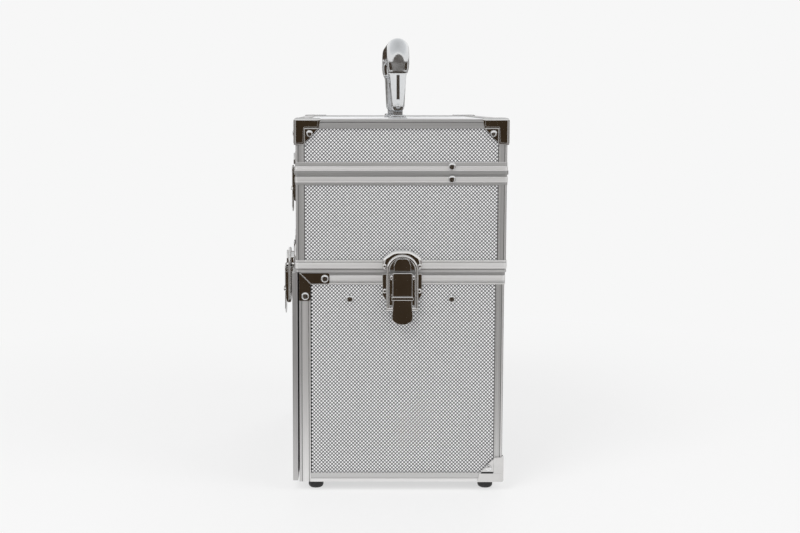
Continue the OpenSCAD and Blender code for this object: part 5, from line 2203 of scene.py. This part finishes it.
    def dark_room(self) -> None:
        """Makes the room that polished metal shows: a dark floor and a low wall around it."""
        graph = Graph.of(bpy.data.materials.new("dark_room"))
        place = graph.here()
        near_to_far = graph.distance(place), *self.sheet_edge
        far = graph.ranged(*near_to_far, interpolation_type="SMOOTHSTEP")
        far = graph.math("MULTIPLY", far, self.dark_sides(graph, place))
        mesh = self.disc(0.0003)
        ring = bmesh.ops.create_circle(mesh, segments=96, radius=self.room_radius / MM)
        edges = {edge for vert in ring["verts"] for edge in vert.link_edges}
        made = bmesh.ops.extrude_edge_only(mesh, edges=list(edges))["geom"]
        raised = [v for v in made if isinstance(v, bmesh.types.BMVert)]
        bmesh.ops.translate(mesh, vec=(0, 0, self.room_height / MM), verts=raised)
        colour = graph.mixed(far, self.pale, (*self.room, 1))
        self.glowing("dark_room", mesh, graph, colour, 1.0)

    def dark_sides(self, graph: Graph, place: Socket) -> Socket:
        """Is 1 straight out from the four sides of the case and 0 towards its corners.

        Args:
            graph: The room's node tree.
            place: Coordinates of the room's surface.

        Returns:
            The mask.
        """
        axes = graph.apart(place)
        turn = graph.math("MULTIPLY", graph.math("ARCTAN2", axes["Y"], axes["X"]), 2.0)
        slant = graph.math("ABSOLUTE", graph.math("SINE", turn))
        start, end = self.corner_glow
        near, deep = (
            graph.ranged(slant, *span, interpolation_type="SMOOTHSTEP")
            for span in ((start, end, 1.0, 0.0), (end + 0.02, 0.99, 0.0, self.corner_dim))
        )
        return graph.math("MAXIMUM", near, deep)

    def ceiling(self) -> None:
        """Makes the grey ceiling of the room, darker in its middle."""
        graph = Graph.of(bpy.data.materials.new("grey_ceiling"))
        flat = {0: graph.here(), 1: (1, 1, 0)}
        flat = graph.out("ShaderNodeVectorMath", flat, operation="MULTIPLY")
        level = graph.ranged(graph.distance(flat), 0.3, 3.5, *self.ceiling_tones)
        mesh = self.disc(self.ceiling_height)
        self.glowing("grey_ceiling", mesh, graph, (0.97, 0.985, 1.0, 1), level)


# ---------- assembly ----------


def door_painted_shade(middle: Vector, normal: Vector) -> float:
    """Painted shade on the door's edges, its grooves and the frame's upright members.

    Args:
        middle: Middle of a face.
        normal: Its normal.

    Returns:
        The painted shade.
    """
    if abs(normal.x) > 0.7 or abs(normal.y) < 0.5:
        return 0.36
    return 0.3 if abs(middle.x) > corners_of("door_frame")[1].x - 10.6 else 0.15


def refine_rest(made: dict[str, Material]) -> None:
    """Gives every CAD node without a piece of its own a refined copy in its own finish.

    Args:
        made: The materials by name.
    """
    base = corners_of("lower_base_rail")[0].z
    # Painted shade in bands on the base rail, and on the door frame's edges and grooves below.
    painted_shade_bands = by_height(base, ((-1, 3.5, 0.12), (3.5, 4.25, 0.5), (4.25, 10, 0.36)))
    refined("lower_base_rail", made["rail"], Slot.ALUMINIUM, 0.25, painted_shade_bands)
    refined("door_frame", made["post"], Slot.ALUMINIUM, 0.3, door_painted_shade)
    for name, slot, width, nodes in (
        ("rail", Slot.ALUMINIUM, 0.25, "drawer_runners"),
        ("lining", Slot.LINED, 0.3, "lower_floor_panel upper_floor_panel"),
        ("foam", Slot.FOAM, 0.8, "lid_lining"),
        ("tray", Slot.TRAY, 0.5, "lower_tray upper_tray lower_tray_dividers upper_tray_dividers"),
        ("drawer", Slot.DRAWER, 0.6, "drawer_box"),
        ("rubber", Slot.RUBBER, 1.0, "rubber_feet"),
        ("steel", Slot.STEEL, 0.2, "tray_pivot_studs tray_front_arms tray_rear_arms"),
        ("steel", Slot.STEEL, 0.2, "stay_base_links stay_lid_links door_hinge_box_leaf"),
        ("steel", Slot.STEEL, 0.2, "door_hinge_door_leaf lid_hinge_lower_leaves"),
        ("steel", Slot.STEEL, 0.2, "lid_hinge_upper_leaves"),
        ("chrome", Slot.CHROME, 0.4, "drawer_pull"),
    ):
        for node in nodes.split():
            refined(node, made[name], slot, width)


def main() -> None:
    """Builds the pieces of every sub-assembly, then the studio."""
    logging.basicConfig(level=logging.INFO, format="%(message)s")
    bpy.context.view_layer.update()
    grain = grain_group()
    made = {name: finish.build(grain) for name, finish in FINISHES.items()}
    EmbossedBoards(made["facing"], made["lining"]).build()
    Rails(made["rail"], made["post"]).build()
    Latches(made["chrome"]).build()
    CornerCaps(made["chrome"]).build()
    Rivets(made["steel"]).build()
    Handle(made["satin"]).build()
    refine_rest(made)
    Studio().build()


if __name__ == "__main__":
    main()
